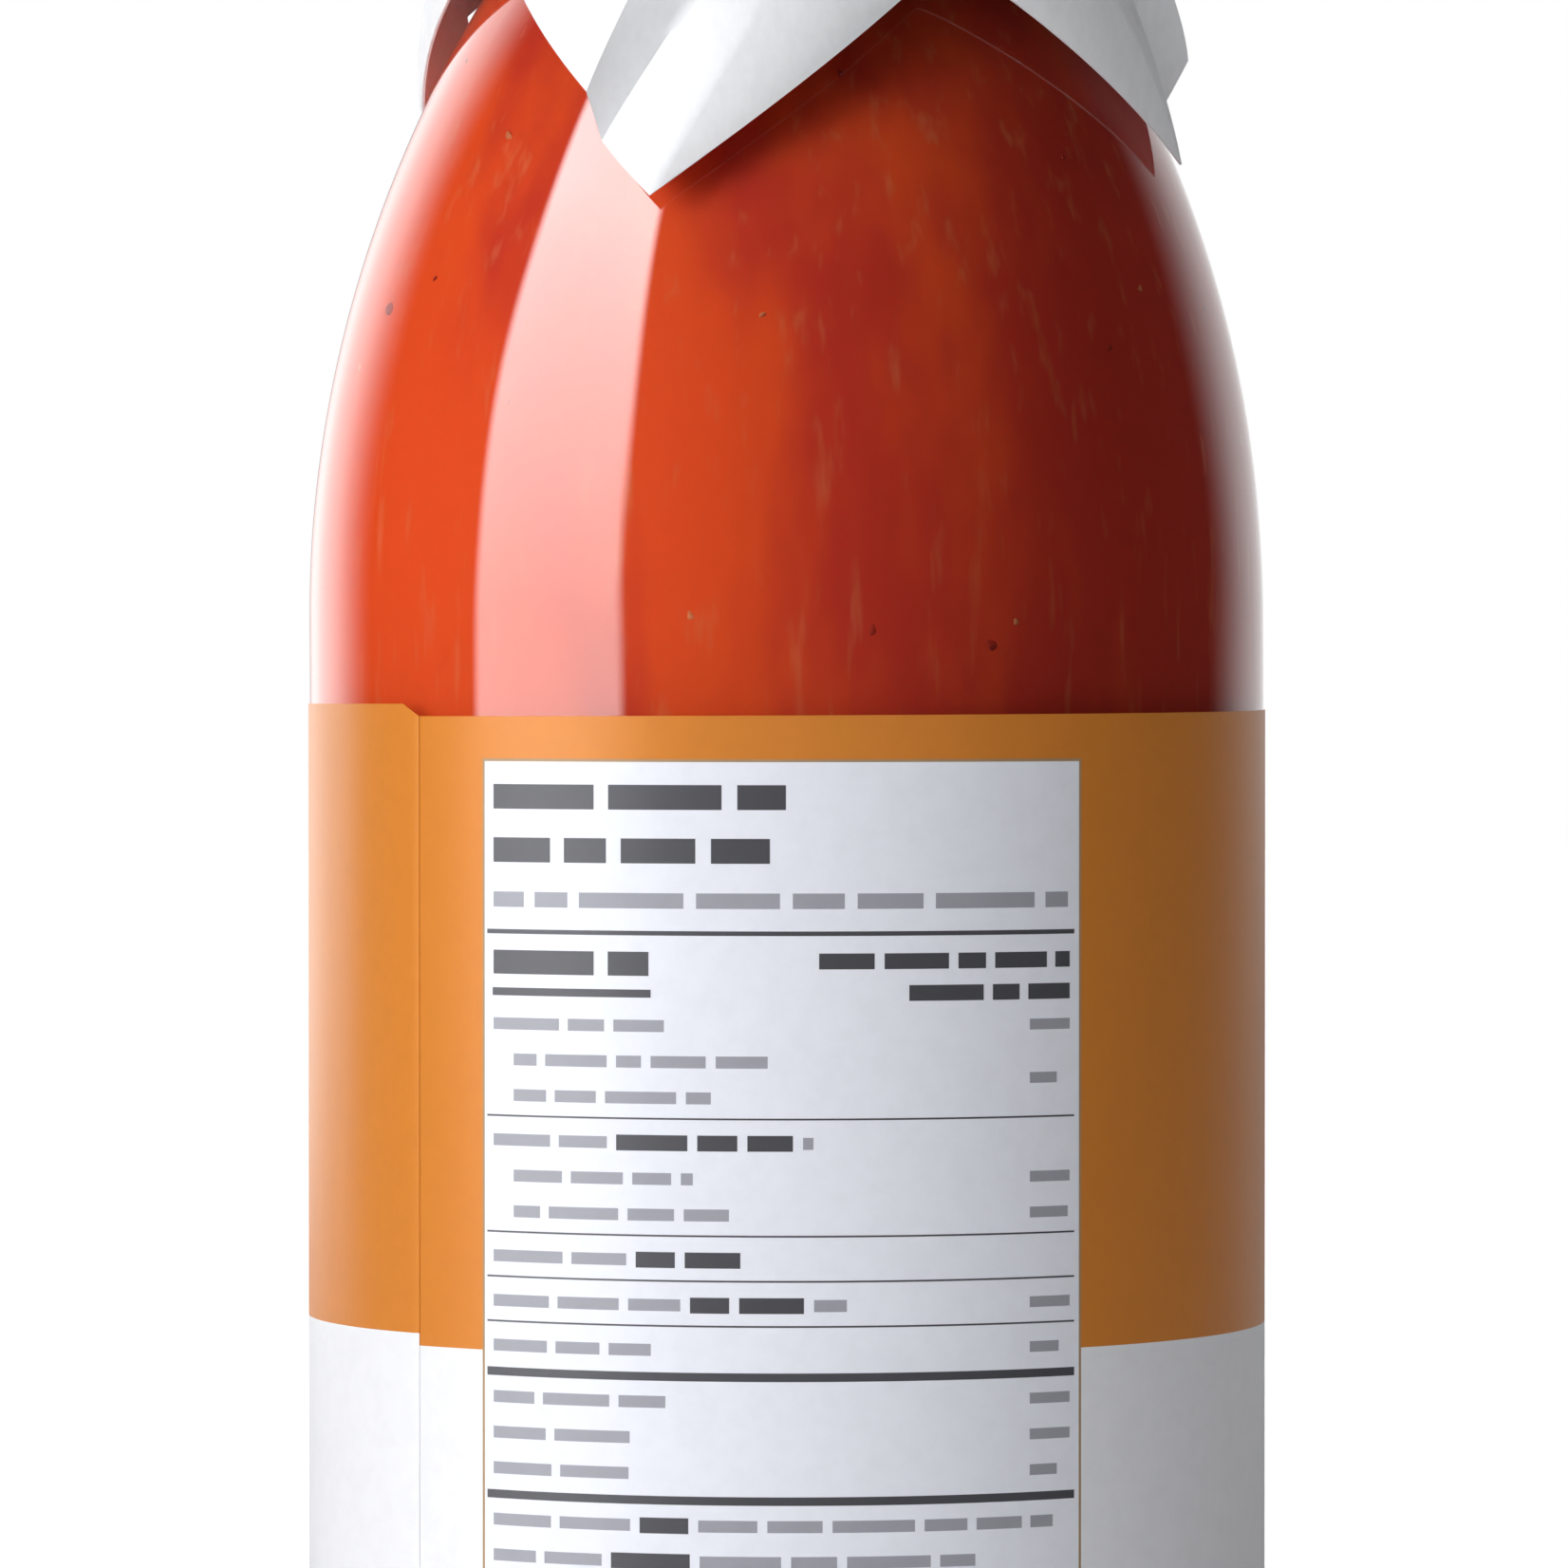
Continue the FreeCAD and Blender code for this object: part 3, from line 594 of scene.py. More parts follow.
def make_glass(sizes, colours):
    """Turns the outside line and, back down, the inside line. From just above the label up to
    the cap, the radius swells by a sum of slow sines of direction and height, a few hundredths
    of a millimetre, as blown glass is uneven."""
    profile = np.concatenate([outside_line(sizes), inside_line(sizes, sizes.wall)[::-1]])
    profile[0, 0] = profile[-1, 0] = 0.0
    verts, faces = revolved(profile, GLASS_TURNS)
    turned = np.arctan2(verts[:, 0], -verts[:, 1])
    height = verts[:, 2]
    low, fade, capped = LABEL_HIGH.z + 2 * MM, 12 * MM, 18 * MM
    blown = np.clip((height - low) / fade, 0, 1) * (height < sizes.lip_height - capped)
    waves = sum(
        share * np.sin(number * turned + height / rise + start)
        for share, number, rise, start in BLOWN_WAVES
    )
    swell = 1 + blown * sizes.wobble * waves / sizes.body_radius
    verts[:, :2] *= swell[:, None]
    piece = made("glass_jar", [(verts, faces)], [glass_material(colours)], sharp=60)
    settle(piece, "clear_glass", "glass_bottle")


def make_sauce(sizes, colours):
    """Turns the inside line, grown into the wall by the wetting, up to the sauce's level."""
    line = inside_line(sizes, sizes.wall - sizes.wetting)
    level = SAUCE_HIGH.z
    below = line[line[:, 1] < level]
    shoulder = line[-SHOULDER_STEPS:]
    edge = np.interp(level, shoulder[:, 1], shoulder[:, 0])
    near_edge = 0.98 * edge
    profile = np.concatenate([below, [(edge, level), (near_edge, level), (0.0, level)]])
    profile[0, 0] = 0.0
    fill = revolved(profile, SAUCE_TURNS)
    piece = made("tomato_sauce_fill", [fill], [sauce_material(colours)], sharp=60)
    settle(piece, "sauce", "tomato_sauce")


def flake(turned, height, radius, size, lean, waves):
    """A lens-shaped fleck on the sauce's face. Its outline is an ellipse whose radius swells in
    two and three waves: r = 1 + a sin(2t + b) + c sin(3t + d); it leans by an angle."""
    around = np.linspace(0, 2 * np.pi, FLAKE_STEPS, endpoint=False)
    swell = 1 + waves[0] * np.sin(2 * around + waves[1]) + waves[2] * np.sin(3 * around + waves[3])
    across = size[0] / 2 * swell * np.cos(around)
    up = size[1] / 2 * swell * np.sin(around)
    side = across * math.cos(lean) - up * math.sin(lean)
    rise = across * math.sin(lean) + up * math.cos(lean)
    rings = [
        round_jar(radius + lift * size[2], turned + share * side / radius, height + share * rise)
        for share, lift in ((1.0, 0.0), (0.6, 0.7))
    ]
    out = np.array([math.sin(turned), -math.cos(turned), 0.0])
    middle = radius * out + np.array([0, 0, height])
    verts = np.concatenate([*rings, [middle + out * size[2]], [middle - out * size[2]]])
    here, after = np.arange(FLAKE_STEPS), np.roll(np.arange(FLAKE_STEPS), -1)
    front_pole = np.full(FLAKE_STEPS, 2 * FLAKE_STEPS)
    front = np.stack([here + FLAKE_STEPS, after + FLAKE_STEPS, front_pole], axis=-1)
    back = np.stack([after, here, front_pole + 1], axis=-1)
    return verts, [grid_quads(2, FLAKE_STEPS, True), front, back]


def make_flecks(sizes, colours):
    """Tomato skin and seeds that lie against the glass, each kind one piece. Small ones are
    commoner: the length grows with the square of a random share."""
    rng = np.random.default_rng(FLECK_SEED)
    low, high = LABEL_HIGH.z - 4 * MM, SAUCE_HIGH.z - 6 * MM
    kinds = [
        ("skin_flecks", "tomato_skin_sieved", colours.skin, sizes.skin_flecks, 0.5, 1.8),
        ("seed_flecks", "tomato_seed_and_pulp", colours.seed, sizes.seed_flecks, 0.7, 2.2),
    ]
    for name, material, shade, count, smallest, largest in kinds:
        flakes = []
        for turned, height, share in rng.uniform(0, 1, (count, 3)):
            height = low + (high - low) * height
            tall = (smallest + (largest - smallest) * share**2) * MM
            size = (tall * rng.uniform(0.6, 0.9), tall, rng.uniform(0.14, 0.22) * MM)
            waves = (
                rng.uniform(0, 0.2),
                rng.uniform(0, 6.3),
                rng.uniform(0.05, 0.18),
                rng.uniform(0, 6.3),
            )
            lean = rng.uniform(-0.9, 0.9)
            face = shoulder_radius(sizes, height) - sizes.wall
            flakes.append(flake(turned * 2 * math.pi, height, face, size, lean, waves))
        piece = made(name, flakes, [fleck_material(material, shade)], sharp=80)
        settle(piece, "sauce")


# ---------------------------------------------------------------- label

LABEL_STEPS, END_STEPS = 360, 24
BAND_ROWS, FOOT_ROWS = 15, 9
TABLE_STEPS = 60
# How much of the paper's thickness goes at its pressed end.
PRESSED_AWAY = 0.75
PAPER_GLOSS, INK_GLOSS = 0.36, 0.42
BLACK, GREY, KEYLINE = 0, 1, 2
PRINT_SEED = 5


def label_lift(sizes, turned):
    """How far the paper stands off the glass: it climbs over its own covered end in one
    overlap's length, by 3s^2 - 2s^3, and then lies on it."""
    lap = sizes.lap / sizes.radius
    end = sizes.seam + 2 * math.pi
    share = np.clip((turned - (end - 2 * lap)) / lap, 0, 1)
    return (sizes.paper + sizes.glue) * share * share * (3 - 2 * share)


def make_label(sizes, colours):
    """The strip of paper, wound once round in a slow climb. Its rows follow the upper edge, so
    the orange field ends in one straight line of the mesh. The outer end is pressed thin, and
    its upper corner is clipped."""
    start, end = sizes.seam - sizes.lap / sizes.radius, sizes.seam + 2 * math.pi

    def upper_edge(turn):
        return sizes.bottom + sizes.height + sizes.rise * (turn - start) / (2 * math.pi)

    last = np.linspace(0, 3 * sizes.clipped / sizes.radius, END_STEPS)[::-1]
    turned = np.concatenate([np.linspace(start, end - last[0], LABEL_STEPS), end - last[1:]])
    foot = np.linspace(sizes.band, sizes.height, FOOT_ROWS)[1:]
    down = np.concatenate([np.linspace(0, sizes.band, BAND_ROWS), foot])
    heights = upper_edge(turned)[None, :] - down[:, None]
    turns = np.broadcast_to(turned, heights.shape)
    face = sizes.radius + label_lift(sizes, turns)
    to_end = (end - turns) * sizes.radius
    thick = sizes.paper * (1 - PRESSED_AWAY * np.clip(1 - to_end / sizes.pressed, 0, 1) ** 2)
    heights[0] -= sizes.clipped * np.clip(1 - to_end[0] / (2 * sizes.clipped), 0, 1)
    strip = walled(round_jar(face + thick, turns, heights), round_jar(face, turns, heights))

    def field(centres):
        turn = np.arctan2(centres[:, 0], -centres[:, 1])
        turn = np.where(turn < sizes.seam, turn + 2 * math.pi, turn)
        return (upper_edge(turn) - centres[:, 2] > sizes.band).astype(int)

    papers = [
        print_material("label_paper_printed_orange", colours.orange, PAPER_GLOSS),
        print_material("label_paper_coated", colours.white, PAPER_GLOSS),
    ]
    piece = made("label_wrap", [strip], papers, field)
    settle(piece, "label_paper", "label")


def patch(radius, thick, left, right, low, high, columns):
    """A closed curved plate on the label between two directions and two heights."""
    turns, heights = np.meshgrid(np.linspace(left, right, columns), np.array([high, low]))
    return walled(round_jar(radius + thick, turns, heights), round_jar(radius, turns, heights))


class TableSheet:
    """Places print on the table by millimetres right of its left side and down from its top."""

    # A word's shortest and longest length and the gap after it, in heights of its line.
    SHORTEST, LONGEST, GAP = 1.1, 3.6, 0.42
    # How high the bars are, how far they lie under the line's middle, and the shortest bar.
    HEAVY, LIGHT, LOWER, STUB = 0.66, 0.5, 0.06, 0.4
    # The longest step of a curved bar, in millimetres.
    STEP = 1.5

    def __init__(self, sizes):
        self.sizes = sizes
        self.paper = sizes.radius + sizes.paper
        self.parts, self.slots = [], []

    def bar(self, left, right, middle, height, slot, layer=1):
        """A printed bar, its ends and middle line in millimetres, on a layer of ink."""
        a = self.sizes.table_left + left * MM / self.paper
        b = self.sizes.table_left + right * MM / self.paper
        centre, half = self.sizes.table_top - middle * MM, height * MM / 2
        columns = max(2, int((right - left) / self.STEP) + 2)
        face = self.paper + layer * self.sizes.ink
        low, high = centre - half, centre + half
        self.parts.append(patch(face, self.sizes.ink, a, b, low, high, columns))
        self.slots.append(slot)

    def words(self, left, right, middle, height, rng, bold, ink):
        """A line of plain bars as long as words, with a gap after each. Bars that start between
        the two ends of bold are higher and black."""
        at = left
        while right - at > self.STUB * height:
            heavy = bold is not None and bold[0] <= at < bold[1]
            end = min(at + height * rng.uniform(self.SHORTEST, self.LONGEST), right)
            high = height * (self.HEAVY if heavy else self.LIGHT)
            self.bar(at, end, middle + self.LOWER * height, high, BLACK if heavy else ink)
            at = end + self.GAP * height


def table_lines():
    """The table's lines of words and its rules, from the top down, in millimetres. Words are
    (left, right, middle, height, where bold starts and ends, ink), rules (left, right, middle,
    height). Rows are (left, right, their value's place under them, bold)."""
    words = [
        (1.0, 28.6, 2.9, 3.3, (0.0, 29.0), BLACK),
        (1.0, 27.2, 7.6, 3.3, (0.0, 29.0), BLACK),
        (1.0, 55.0, 12.0, 2.7, None, GREY),
        (1.0, 16.4, 17.5, 3.2, (0.0, 17.0), BLACK),
        (31.5, 55.2, 17.3, 2.1, (31.0, 56.0), BLACK),
        (39.5, 55.2, 20.1, 2.1, (39.0, 56.0), BLACK),
    ]
    rules = [(0.3, 55.7, 15.0, 0.4), (0.9, 16.6, 20.3, 0.7)]
    rows = [
        (1.0, 17.8, 0, None),
        (3.2, 27.0, None, None),
        (3.2, 22.0, -1.6, None),
        "thin",
        (1.0, 31.0, None, (12.3, 28.5)),
        (3.2, 20.4, 0, None),
        (3.2, 23.6, 0, None),
        "thin",
        (1.0, 24.6, None, (13.0, 21.0)),
        "thin",
        (1.0, 34.0, 0, (15.0, 27.0)),
        "thin",
        (1.0, 16.6, 0, None),
        "thick",
        (1.0, 19.6, 0, None),
        (1.0, 15.2, 0, None),
        (1.0, 15.2, 0, None),
        "thick",
        (1.0, 54.8, None, (14.0, 18.5)),
        (1.0, 46.5, None, (11.0, 17.0)),
    ]
    # A rule between rows: how far above the next row, how high, and the room that it adds.
    between = {"thin": (1.2, 0.16, 0.8), "thick": (0.7, 0.75, 1.4)}
    down, pitch = 23.0, 3.15
    for row in rows:
        if row in between:
            above, height, room = between[row]
            rules.append((0.3, 55.7, down - above, height))
            down += room
        else:
            left, right, value, bold = row
            words.append((left, right, down, 2.1, bold, GREY))
            if value is not None:
                words.append((51.0, 55.2, down + value, 1.9, (52.8, 56.0), GREY))
            down += pitch
    return words, rules


def make_table(sizes, colours):
    """The white table field with its outline, and every rule and line of print on it."""
    rng = np.random.default_rng(PRINT_SEED)
    sheet = TableSheet(sizes)
    sides = (sizes.table_left, sizes.table_right, sizes.table_bottom, sizes.table_top)
    field = patch(sheet.paper, sizes.ink, *sides, columns=TABLE_STEPS)
    white = print_material("label_paper_white_field", colours.panel, PAPER_GLOSS)
    piece = made("table_field", [field], [white])
    settle(piece, "label_paper")
    wide = (sizes.table_right - sizes.table_left) * sheet.paper / MM
    tall = (sizes.table_top - sizes.table_bottom) / MM
    line = sizes.outline / MM
    for middle in (-line / 2, tall + line / 2):
        sheet.bar(-line, wide + line, middle, line, KEYLINE, layer=0)
    for left in (-line, wide):
        sheet.bar(left, left + line, tall / 2, tall, KEYLINE, layer=0)
    words, rules = table_lines()
    for left, right, middle, height in rules:
        sheet.bar(left, right, middle, height, BLACK)
    for left, right, middle, height, bold, ink in words:
        sheet.words(left, right, middle, height, rng, bold, ink)
    inks = [
        print_material("offset_ink_black", colours.ink, INK_GLOSS),
        print_material("offset_ink_grey", colours.grey, INK_GLOSS),
        print_material("offset_ink_outline", colours.keyline, INK_GLOSS),
    ]
    piece = made("table_print", sheet.parts, inks, sheet.slots)
    settle(piece, "label_paper")


# ---------------------------------------------------------------- hood

FLAT_ROWS = (0.02, 0.35, 0.7)
BEND_STEPS, HANG_STEPS = 7, 33
BEND_END = 18
FLARE = 1.6


def hood_lines(sizes, mirrored):
    """One quarter's lines of hanging paper as arrays: turn at the rim, turn at the hem, drop and
    gap to the glass. Between two folds, a value goes from a to b as a + (b - a) f^p, with its
    own power p. Mirrored puts the pleat on the corner's other side."""
    folds = {
        "side": (-45.0, -45.0, sizes.drop_side, sizes.off_side),
        "ridge": (13.0, -8.7, sizes.drop_ridge, sizes.off_ridge),
        "valley": (31.0, -8.4, sizes.drop_valley, sizes.off_valley),
        "corner": (38.0, 0.0, sizes.drop_corner, sizes.off_corner),
        "next side": (45.0, 45.0, sizes.drop_side, sizes.off_side),
    }
    panels = [
        ("side", "ridge", 30, lambda f: f**1.5, lambda f: f**2.2),
        ("ridge", "valley", 8, lambda f: f, lambda f: f),
        ("valley", "corner", 8, lambda f: f, lambda f: f),
        ("corner", "next side", 34, lambda f: 1 - (1 - f) ** 1.15, lambda f: f**1.5),
    ]
    blocks = []
    for first, last, count, drop_ease, gap_ease in panels:
        share = np.arange(count) / count
        a, b = np.array(folds[first]), np.array(folds[last])
        powers = np.stack([share, share, drop_ease(share), gap_ease(share)], axis=-1)
        blocks.append(a + (b - a) * powers)
    lines = np.concatenate([*blocks, [folds["next side"]]])
    if mirrored:
        lines = lines[::-1] * np.array([-1, -1, 1, 1])
    return lines[:-1]


def hood_sheet(jar, sizes, inset):
    """The paper's face, `inset` inside its outer one: rows from the middle of the top to the
    hem, columns round it. Flat to the rim, a bend, then paper that flares and hangs steeper
    below, its radius going from rim to hem by 1 - (1 - s)^1.6. It hangs lower on the sides
    towards which the sheet lies off-centre."""
    top = HOOD_HIGH.z
    rim = sizes.cap_radius + sizes.gap + sizes.paper
    bend = sizes.bend + sizes.paper
    quarters = [hood_lines(sizes, mirrored) for mirrored in (False, True, True, False)]
    turned = sizes.turned + np.repeat(np.arange(4), len(quarters[0])) * math.pi / 2
    lines = np.concatenate(quarters)
    rim_turn, hem_turn = np.radians(lines[:, 0]), np.radians(lines[:, 1])
    way = turned - sizes.turned + hem_turn
    drop = lines[:, 2] + sizes.forward * np.cos(way) + sizes.aside * np.sin(way)
    hem = shoulder_radius(jar, top - drop) + lines[:, 3] + sizes.paper
    level = np.zeros_like(turned)
    rows = []
    for share in FLAT_ROWS:
        rows.append(
            round_jar(level + share * (rim - bend), turned + rim_turn, level + top - inset)
        )
    for angle in np.radians(np.linspace(90, BEND_END, BEND_STEPS)):
        reach, rise = (bend - inset) * math.cos(angle), (bend - inset) * math.sin(angle)
        rows.append(
            round_jar(level + rim - bend + reach, turned + rim_turn, level + top - bend + rise)
        )
    for share in np.linspace(0, 1, HANG_STEPS)[1:]:
        radius = rim + (hem - rim) * (1 - (1 - share) ** FLARE) - inset
        around = turned + rim_turn + (hem_turn - rim_turn) * share
        rows.append(round_jar(radius, around, top - bend - (drop - bend) * share))
    return np.array(rows)


def make_hood(jar, sizes, colours):
    """Two faces of paper, one thickness apart, joined at the hem and closed in the middle."""
    outer, inner = hood_sheet(jar, sizes, 0.0), hood_sheet(jar, sizes, sizes.paper)
    rows, columns = outer.shape[:2]
    other = rows * columns
    poles = np.array([[0, 0, outer[0, 0, 2]], [0, 0, inner[0, 0, 2]]])
    verts = np.concatenate([outer.reshape(-1, 3), inner.reshape(-1, 3), poles])
    around = np.arange(columns)
    after = np.roll(around, -1)
    hem, hem_after = around + other - columns, after + other - columns
    faces = [
        grid_quads(rows, columns, True),
        grid_quads(rows, columns, True, other)[:, ::-1],
        np.stack([hem, hem + other, hem_after + other, hem_after], axis=-1)[:, ::-1],
        np.stack([after, around, np.full(columns, len(verts) - 2)], axis=-1),
        np.stack([around + other, after + other, np.full(columns, len(verts) - 1)], axis=-1),
    ]
    piece = made("paper_drape", [(verts, faces)], [hood_material(colours)], sharp=50)
    settle(piece, "hood_paper", "paper_hood")


# ---------------------------------------------------------------- stage

FLOOR_HALF = 4.0
# What the camera adds to the floor's own light, so that it sees white except in shadow.
FLOOR_GLOW = 0.75
# The dark room that polished faces mirror.
ROOM_MIRRORED = 0.02
# How far above its fading part a mirror card goes on.
CARD_HEADROOM = 2.3
SENSOR = 36.0


def facing(turned, distance, height):
    """Where a lamp or card stands round the jar, and its turn so that it faces the axis."""
    place = (distance * math.sin(turned), -distance * math.cos(turned), height)
    return place, (math.pi / 2, 0, turned)


def soft_box(name, turned, distance, height, width, tall, radiance):
    """A soft box that lights paper, metal and sauce. Its power gives the wanted radiance:
    radiance x pi x area. Polished faces mirror the cards instead."""
    data = bpy.data.lights.new(name, "AREA")
    data.shape, data.size, data.size_y = "RECTANGLE", width, tall
    data.energy = radiance * math.pi * width * tall
    lamp = placed(name, data)
    lamp.location, lamp.rotation_euler = facing(turned, distance, height)
    lamp.visible_camera = lamp.visible_glossy = False


def mirror_card(name, turned, distance, high, width, fade, radiance):
    """A lit card that only polished faces show. Its radiance goes from the first value at the
    floor to the second at its height, and to nothing over the fade at its sides."""
    material, tree = new_material("softbox_nylon")
    material.cycles.emission_sampling = "NONE"
    place = add_node(tree, "ShaderNodeTexCoord").outputs["Object"]
    axes = add_node(tree, "ShaderNodeSeparateXYZ", inputs={0: place})
    aside = add_node(tree, "ShaderNodeMath", {"operation": "ABSOLUTE"}, {0: axes.outputs[0]})
    edge = {"From Min": width / 2, "From Max": width / 2 - fade, "Value": aside.outputs[0]}
    inside = add_node(tree, "ShaderNodeMapRange", {"interpolation_type": "SMOOTHSTEP"}, edge)
    climb = {
        "From Min": 0.0,
        "From Max": high,
        "To Min": radiance[0],
        "To Max": radiance[1],
        "Value": axes.outputs[2],
    }
    upward = add_node(tree, "ShaderNodeMapRange", inputs=climb)
    both = {0: inside.outputs["Result"], 1: upward.outputs["Result"]}
    power = add_node(tree, "ShaderNodeMath", {"operation": "MULTIPLY"}, both).outputs[0]
    glow = add_node(tree, "ShaderNodeEmission", inputs={"Strength": power})
    add_node(tree, "ShaderNodeOutputMaterial", inputs={"Surface": glow.outputs[0]})
    half, top = width / 2, high + CARD_HEADROOM
    corners = [(-half, 0, 0), (half, 0, 0), (half, 0, top), (-half, 0, top)]
    card = flat_sheet(name, corners, material)
    card.location = facing(turned, distance, 0.0)[0]
    card.rotation_euler = (0, 0, turned)
    for way in ("camera", "diffuse", "transmission", "shadow"):
        setattr(card, f"visible_{way}", False)


def studio_world(sizes):
    """A room with most of its light from the left front. Polished faces mirror a dark room with
    a white wall behind the jar, and the camera sees plain white."""
    world = bpy.data.worlds.new("studio")
    bpy.context.scene.world = world
    world.use_nodes = True
    tree = world.node_tree
    tree.nodes.clear()
    toward = add_node(tree, "ShaderNodeTexCoord").outputs["Generated"]
    window = facing(sizes.room_turn, 1.0, 0.0)[0]
    ahead = {0: toward, 1: window}
    facing_window = add_node(tree, "ShaderNodeVectorMath", {"operation": "DOT_PRODUCT"}, ahead)
    spread = {
        "From Min": 0.0,
        "From Max": 1.0,
        "To Min": sizes.room_dark,
        "To Max": sizes.room_light,
        "Value": facing_window.outputs["Value"],
    }
    room = add_node(tree, "ShaderNodeMapRange", inputs=spread).outputs["Result"]
    behind = add_node(tree, "ShaderNodeSeparateXYZ", inputs={0: toward}).outputs[1]
    edge = {"From Min": 0.5, "From Max": 0.86, "Value": behind}
    wall = add_node(tree, "ShaderNodeMapRange", {"interpolation_type": "SMOOTHSTEP"}, edge)
    shown = {0: ROOM_MIRRORED, 1: wall.outputs["Result"]}
    mirrored = add_node(tree, "ShaderNodeMath", {"operation": "MAXIMUM"}, shown).outputs[0]
    path = add_node(tree, "ShaderNodeLightPath").outputs
    polished = {0: path["Is Glossy Ray"], 1: path["Is Transmission Ray"]}
    shiny = add_node(tree, "ShaderNodeMath", {"operation": "MAXIMUM"}, polished).outputs[0]
    by_face = {0: shiny, 2: room, 3: mirrored}
    lit = add_node(tree, "ShaderNodeMix", {"data_type": "FLOAT"}, by_face).outputs[0]
    by_eye = {0: path["Is Camera Ray"], 2: lit, 3: 1.0}
    light = add_node(tree, "ShaderNodeMix", {"data_type": "FLOAT"}, by_eye).outputs[0]
    plain = {"Color": WHITE, "Strength": light}
    background = add_node(tree, "ShaderNodeBackground", inputs=plain)
    add_node(tree, "ShaderNodeOutputWorld", inputs={"Surface": background.outputs[0]})


def floor_material():
    """Studio floor, matt white laminate in clouds 17 mm wide: pale, and white to the camera
    except in shadow."""
    material, tree = new_material("laminate_matt_white")
    clouds = pattern(tree, 17 * MM)
    pale = {0: clouds, 6: opaque(linear("#E7E7E7")), 7: opaque(linear("#EAEAEA"))}
    base = add_node(tree, "ShaderNodeMix", {"data_type": "RGBA"}, pale).outputs[2]
    matt = {"Roughness": 0.7, "Base Color": base}
    shader = add_node(tree, "ShaderNodeBsdfPrincipled", inputs=matt)
    glow = add_node(tree, "ShaderNodeEmission", inputs={"Color": WHITE, "Strength": FLOOR_GLOW})
    dark = add_node(tree, "ShaderNodeEmission", inputs={"Strength": 0.0})
    path = add_node(tree, "ShaderNodeLightPath")
    by_eye = {0: path.outputs["Is Camera Ray"], 1: dark.outputs[0], 2: glow.outputs[0]}
    seen = add_node(tree, "ShaderNodeMixShader", inputs=by_eye)
    sum_of = {0: shader.outputs[0], 1: seen.outputs[0]}
    both = add_node(tree, "ShaderNodeAddShader", inputs=sum_of)
    add_node(tree, "ShaderNodeOutputMaterial", inputs={"Surface": both.outputs[0]})
    return material


def make_camera(sizes):
    """The camera looks along +Y and slightly down, at a point on the jar's axis."""
    data = bpy.data.cameras.new("camera")
    data.sensor_width, data.lens = SENSOR, sizes.focal
    data.clip_start, data.clip_end = 0.05, 20.0
    camera = placed("camera", data)
    camera.location = (sizes.eye_aside, -sizes.eye_distance, sizes.eye_height)
    pitch = math.atan2(sizes.eye_height - sizes.aim_height, sizes.eye_distance)
    camera.rotation_euler = (math.pi / 2 - pitch, 0, 0)
    bpy.context.scene.camera = camera


def make_stage(sizes):
    """Floor, room, lamps, the cards that stand for them in polished faces, and camera."""
    half = FLOOR_HALF
    corners = [(-half, -half, 0), (half, -half, 0), (half, half, 0), (-half, half, 0)]
    floor = flat_sheet("floor", corners, floor_material())
    studio_world(sizes)
    soft_box(
        "key_box",
        turned=sizes.key_turn,
        distance=0.75,
        height=0.3,
        width=0.36,
        tall=0.5,
        radiance=sizes.key_power,
    )
    soft_box(
        "rim_box",
        turned=sizes.rim_turn,
        distance=0.9,
        height=0.3,
        width=0.5,
        tall=0.6,
        radiance=sizes.rim_power,
    )
    mirror_card(
        "key_card",
        turned=math.radians(-58),
        distance=0.75,
        high=0.7,
        width=0.58,
        fade=0.05,
        radiance=(6.0, 15.5),
    )
    mirror_card(
        "edge_card",
        turned=math.radians(-147),
        distance=0.9,
        high=1.0,
        width=1.1,
        fade=0.45,
        radiance=(2.2, 2.2),
    )
    make_camera(sizes)
    bpy.context.scene.view_settings.view_transform = "Standard"


# ---------------------------------------------------------------- operators


class JAR_OT_glass(bpy.types.Operator):
    """Blow the glass jar"""

    bl_idname = "jar.glass"
    bl_label = "Glass jar"

    def execute(self, context):
        make_glass(context.scene.jar_sizes, context.scene.jar_colours)
        return {"FINISHED"}


class JAR_OT_sauce(bpy.types.Operator):
    """Fill the jar with sauce, skin flecks and seeds"""

    bl_idname = "jar.sauce"
    bl_label = "Tomato sauce"

    def execute(self, context):
        make_sauce(context.scene.jar_sizes, context.scene.jar_colours)
        make_flecks(context.scene.jar_sizes, context.scene.jar_colours)
        return {"FINISHED"}


class JAR_OT_label(bpy.types.Operator):
    """Wind the paper label round the jar"""

    bl_idname = "jar.label"
    bl_label = "Paper label"

    def execute(self, context):
        make_label(context.scene.label_sizes, context.scene.jar_colours)
        return {"FINISHED"}


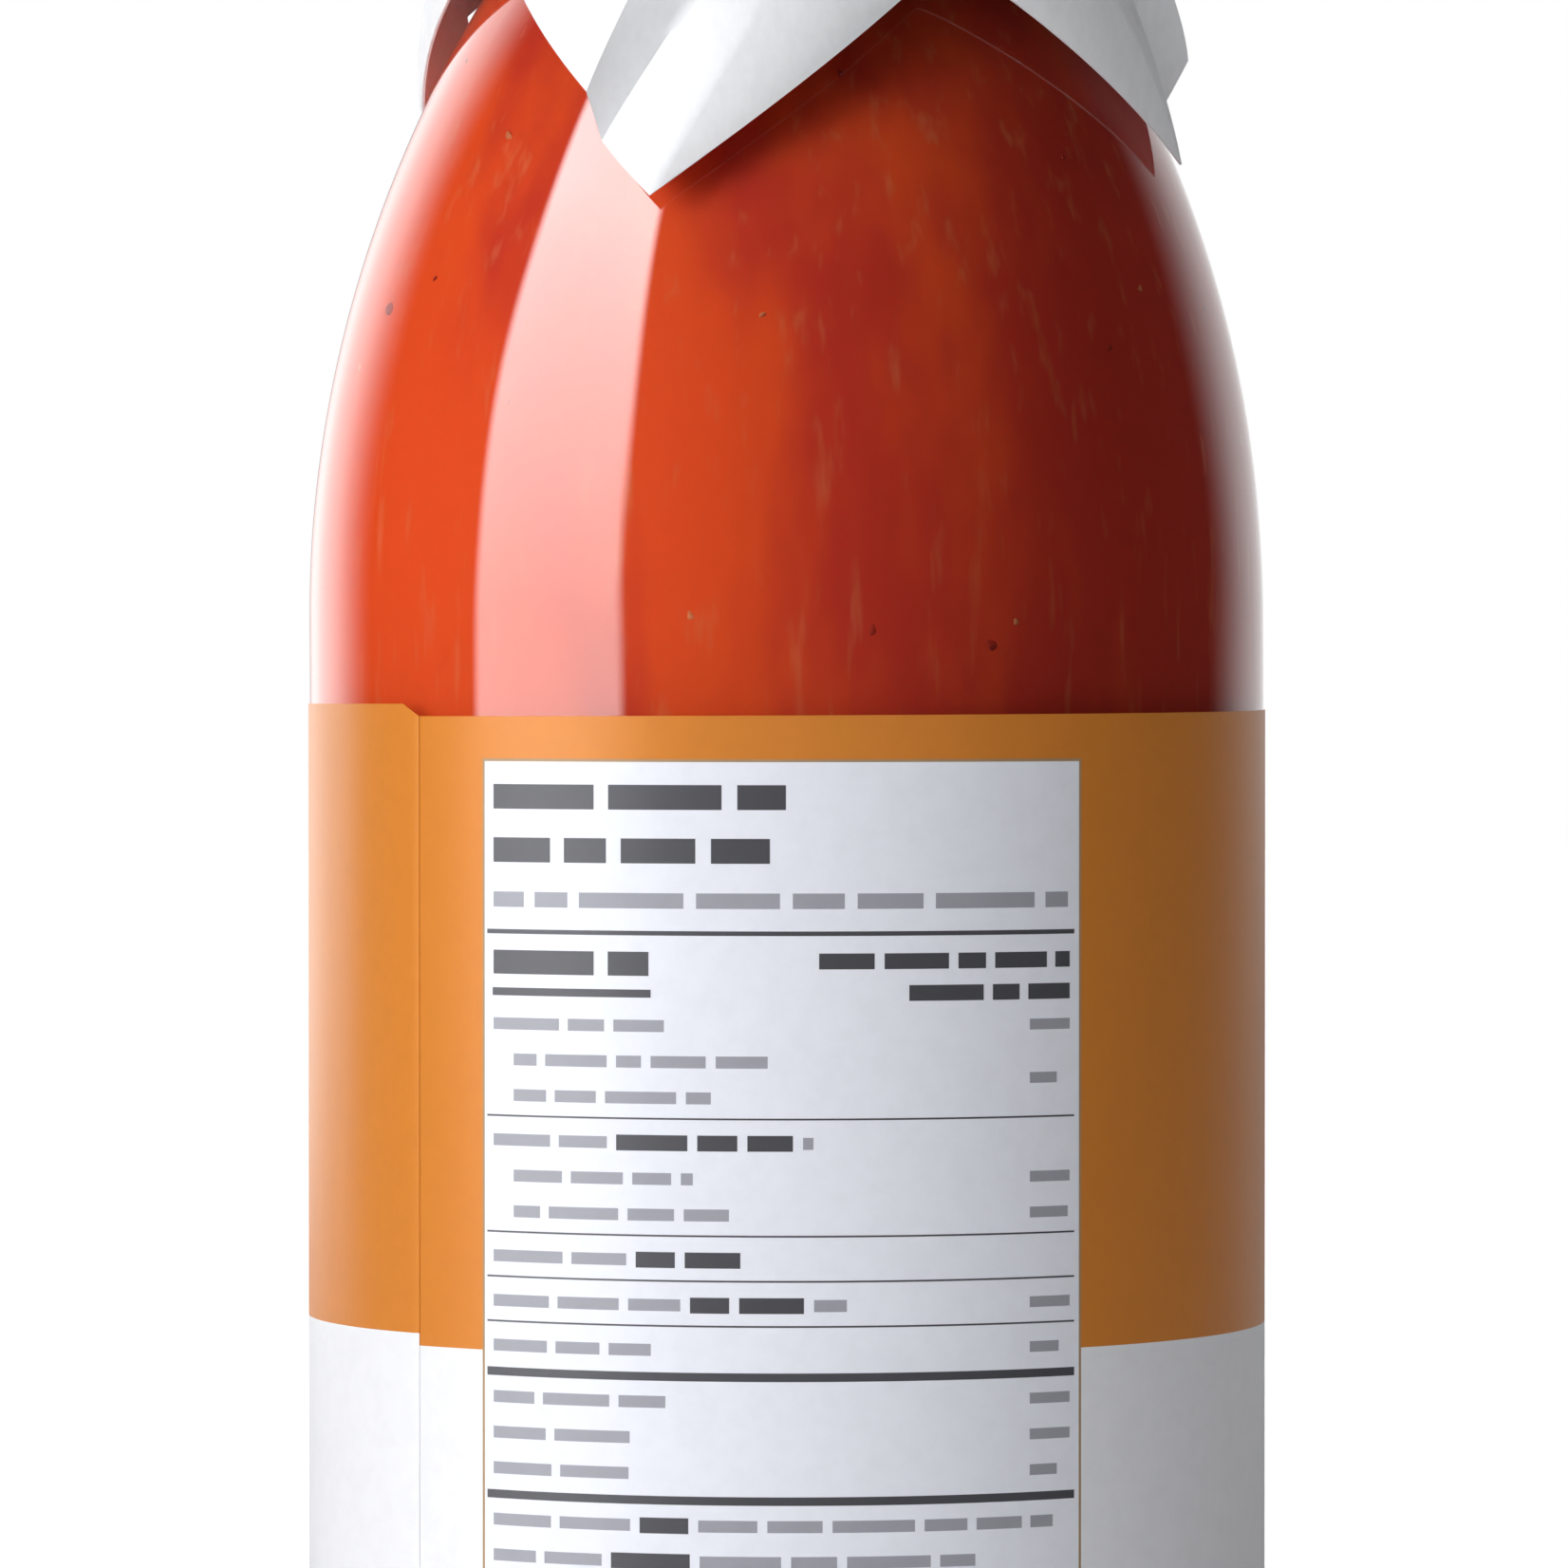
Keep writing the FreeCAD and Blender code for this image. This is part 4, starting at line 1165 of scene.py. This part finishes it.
class JAR_OT_table(bpy.types.Operator):
    """Print the table on the label"""

    bl_idname = "jar.table"
    bl_label = "Printed table"

    def execute(self, context):
        make_table(context.scene.label_sizes, context.scene.jar_colours)
        return {"FINISHED"}


class JAR_OT_cap(bpy.types.Operator):
    """Lacquer the metal cap"""

    bl_idname = "jar.cap"
    bl_label = "Screw cap"

    def execute(self, context):
        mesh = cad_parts["screw_cap"].data
        mesh.materials.clear()
        mesh.materials.append(cap_material(context.scene.jar_colours))
        return {"FINISHED"}


class JAR_OT_hood(bpy.types.Operator):
    """Drape the square of paper over the cap"""

    bl_idname = "jar.hood"
    bl_label = "Paper hood"

    def execute(self, context):
        scene = context.scene
        make_hood(scene.jar_sizes, scene.hood_sizes, scene.jar_colours)
        return {"FINISHED"}


class JAR_OT_stage(bpy.types.Operator):
    """Set up floor, lamps and camera"""

    bl_idname = "jar.stage"
    bl_label = "Studio"

    def execute(self, context):
        make_stage(context.scene.studio_sizes)
        return {"FINISHED"}


OPERATORS = (
    JAR_OT_glass,
    JAR_OT_sauce,
    JAR_OT_label,
    JAR_OT_table,
    JAR_OT_cap,
    JAR_OT_hood,
    JAR_OT_stage,
)


class JAR_PT_panel(bpy.types.Panel):
    """Lists the jar's pieces"""

    bl_idname = "JAR_PT_panel"
    bl_label = "Sauce jar"
    bl_space_type = "VIEW_3D"
    bl_region_type = "UI"
    bl_category = "Sauce jar"

    def draw(self, context):
        for operator in OPERATORS:
            self.layout.operator(operator.bl_idname)


GROUPS = {
    "jar_sizes": JarSizes,
    "label_sizes": LabelSizes,
    "hood_sizes": HoodSizes,
    "jar_colours": JarColours,
    "studio_sizes": StudioSizes,
}
CLASSES = (*GROUPS.values(), *OPERATORS, JAR_PT_panel)


def register():
    for made_class in CLASSES:
        bpy.utils.register_class(made_class)
    for name, group in GROUPS.items():
        setattr(bpy.types.Scene, name, PointerProperty(type=group))


def unregister():
    for name in GROUPS:
        delattr(bpy.types.Scene, name)
    for made_class in reversed(CLASSES):
        bpy.utils.unregister_class(made_class)


def main():
    register()
    for operator in OPERATORS:
        group, name = operator.bl_idname.split(".")
        getattr(getattr(bpy.ops, group), name)()


if __name__ == "__main__":
    main()
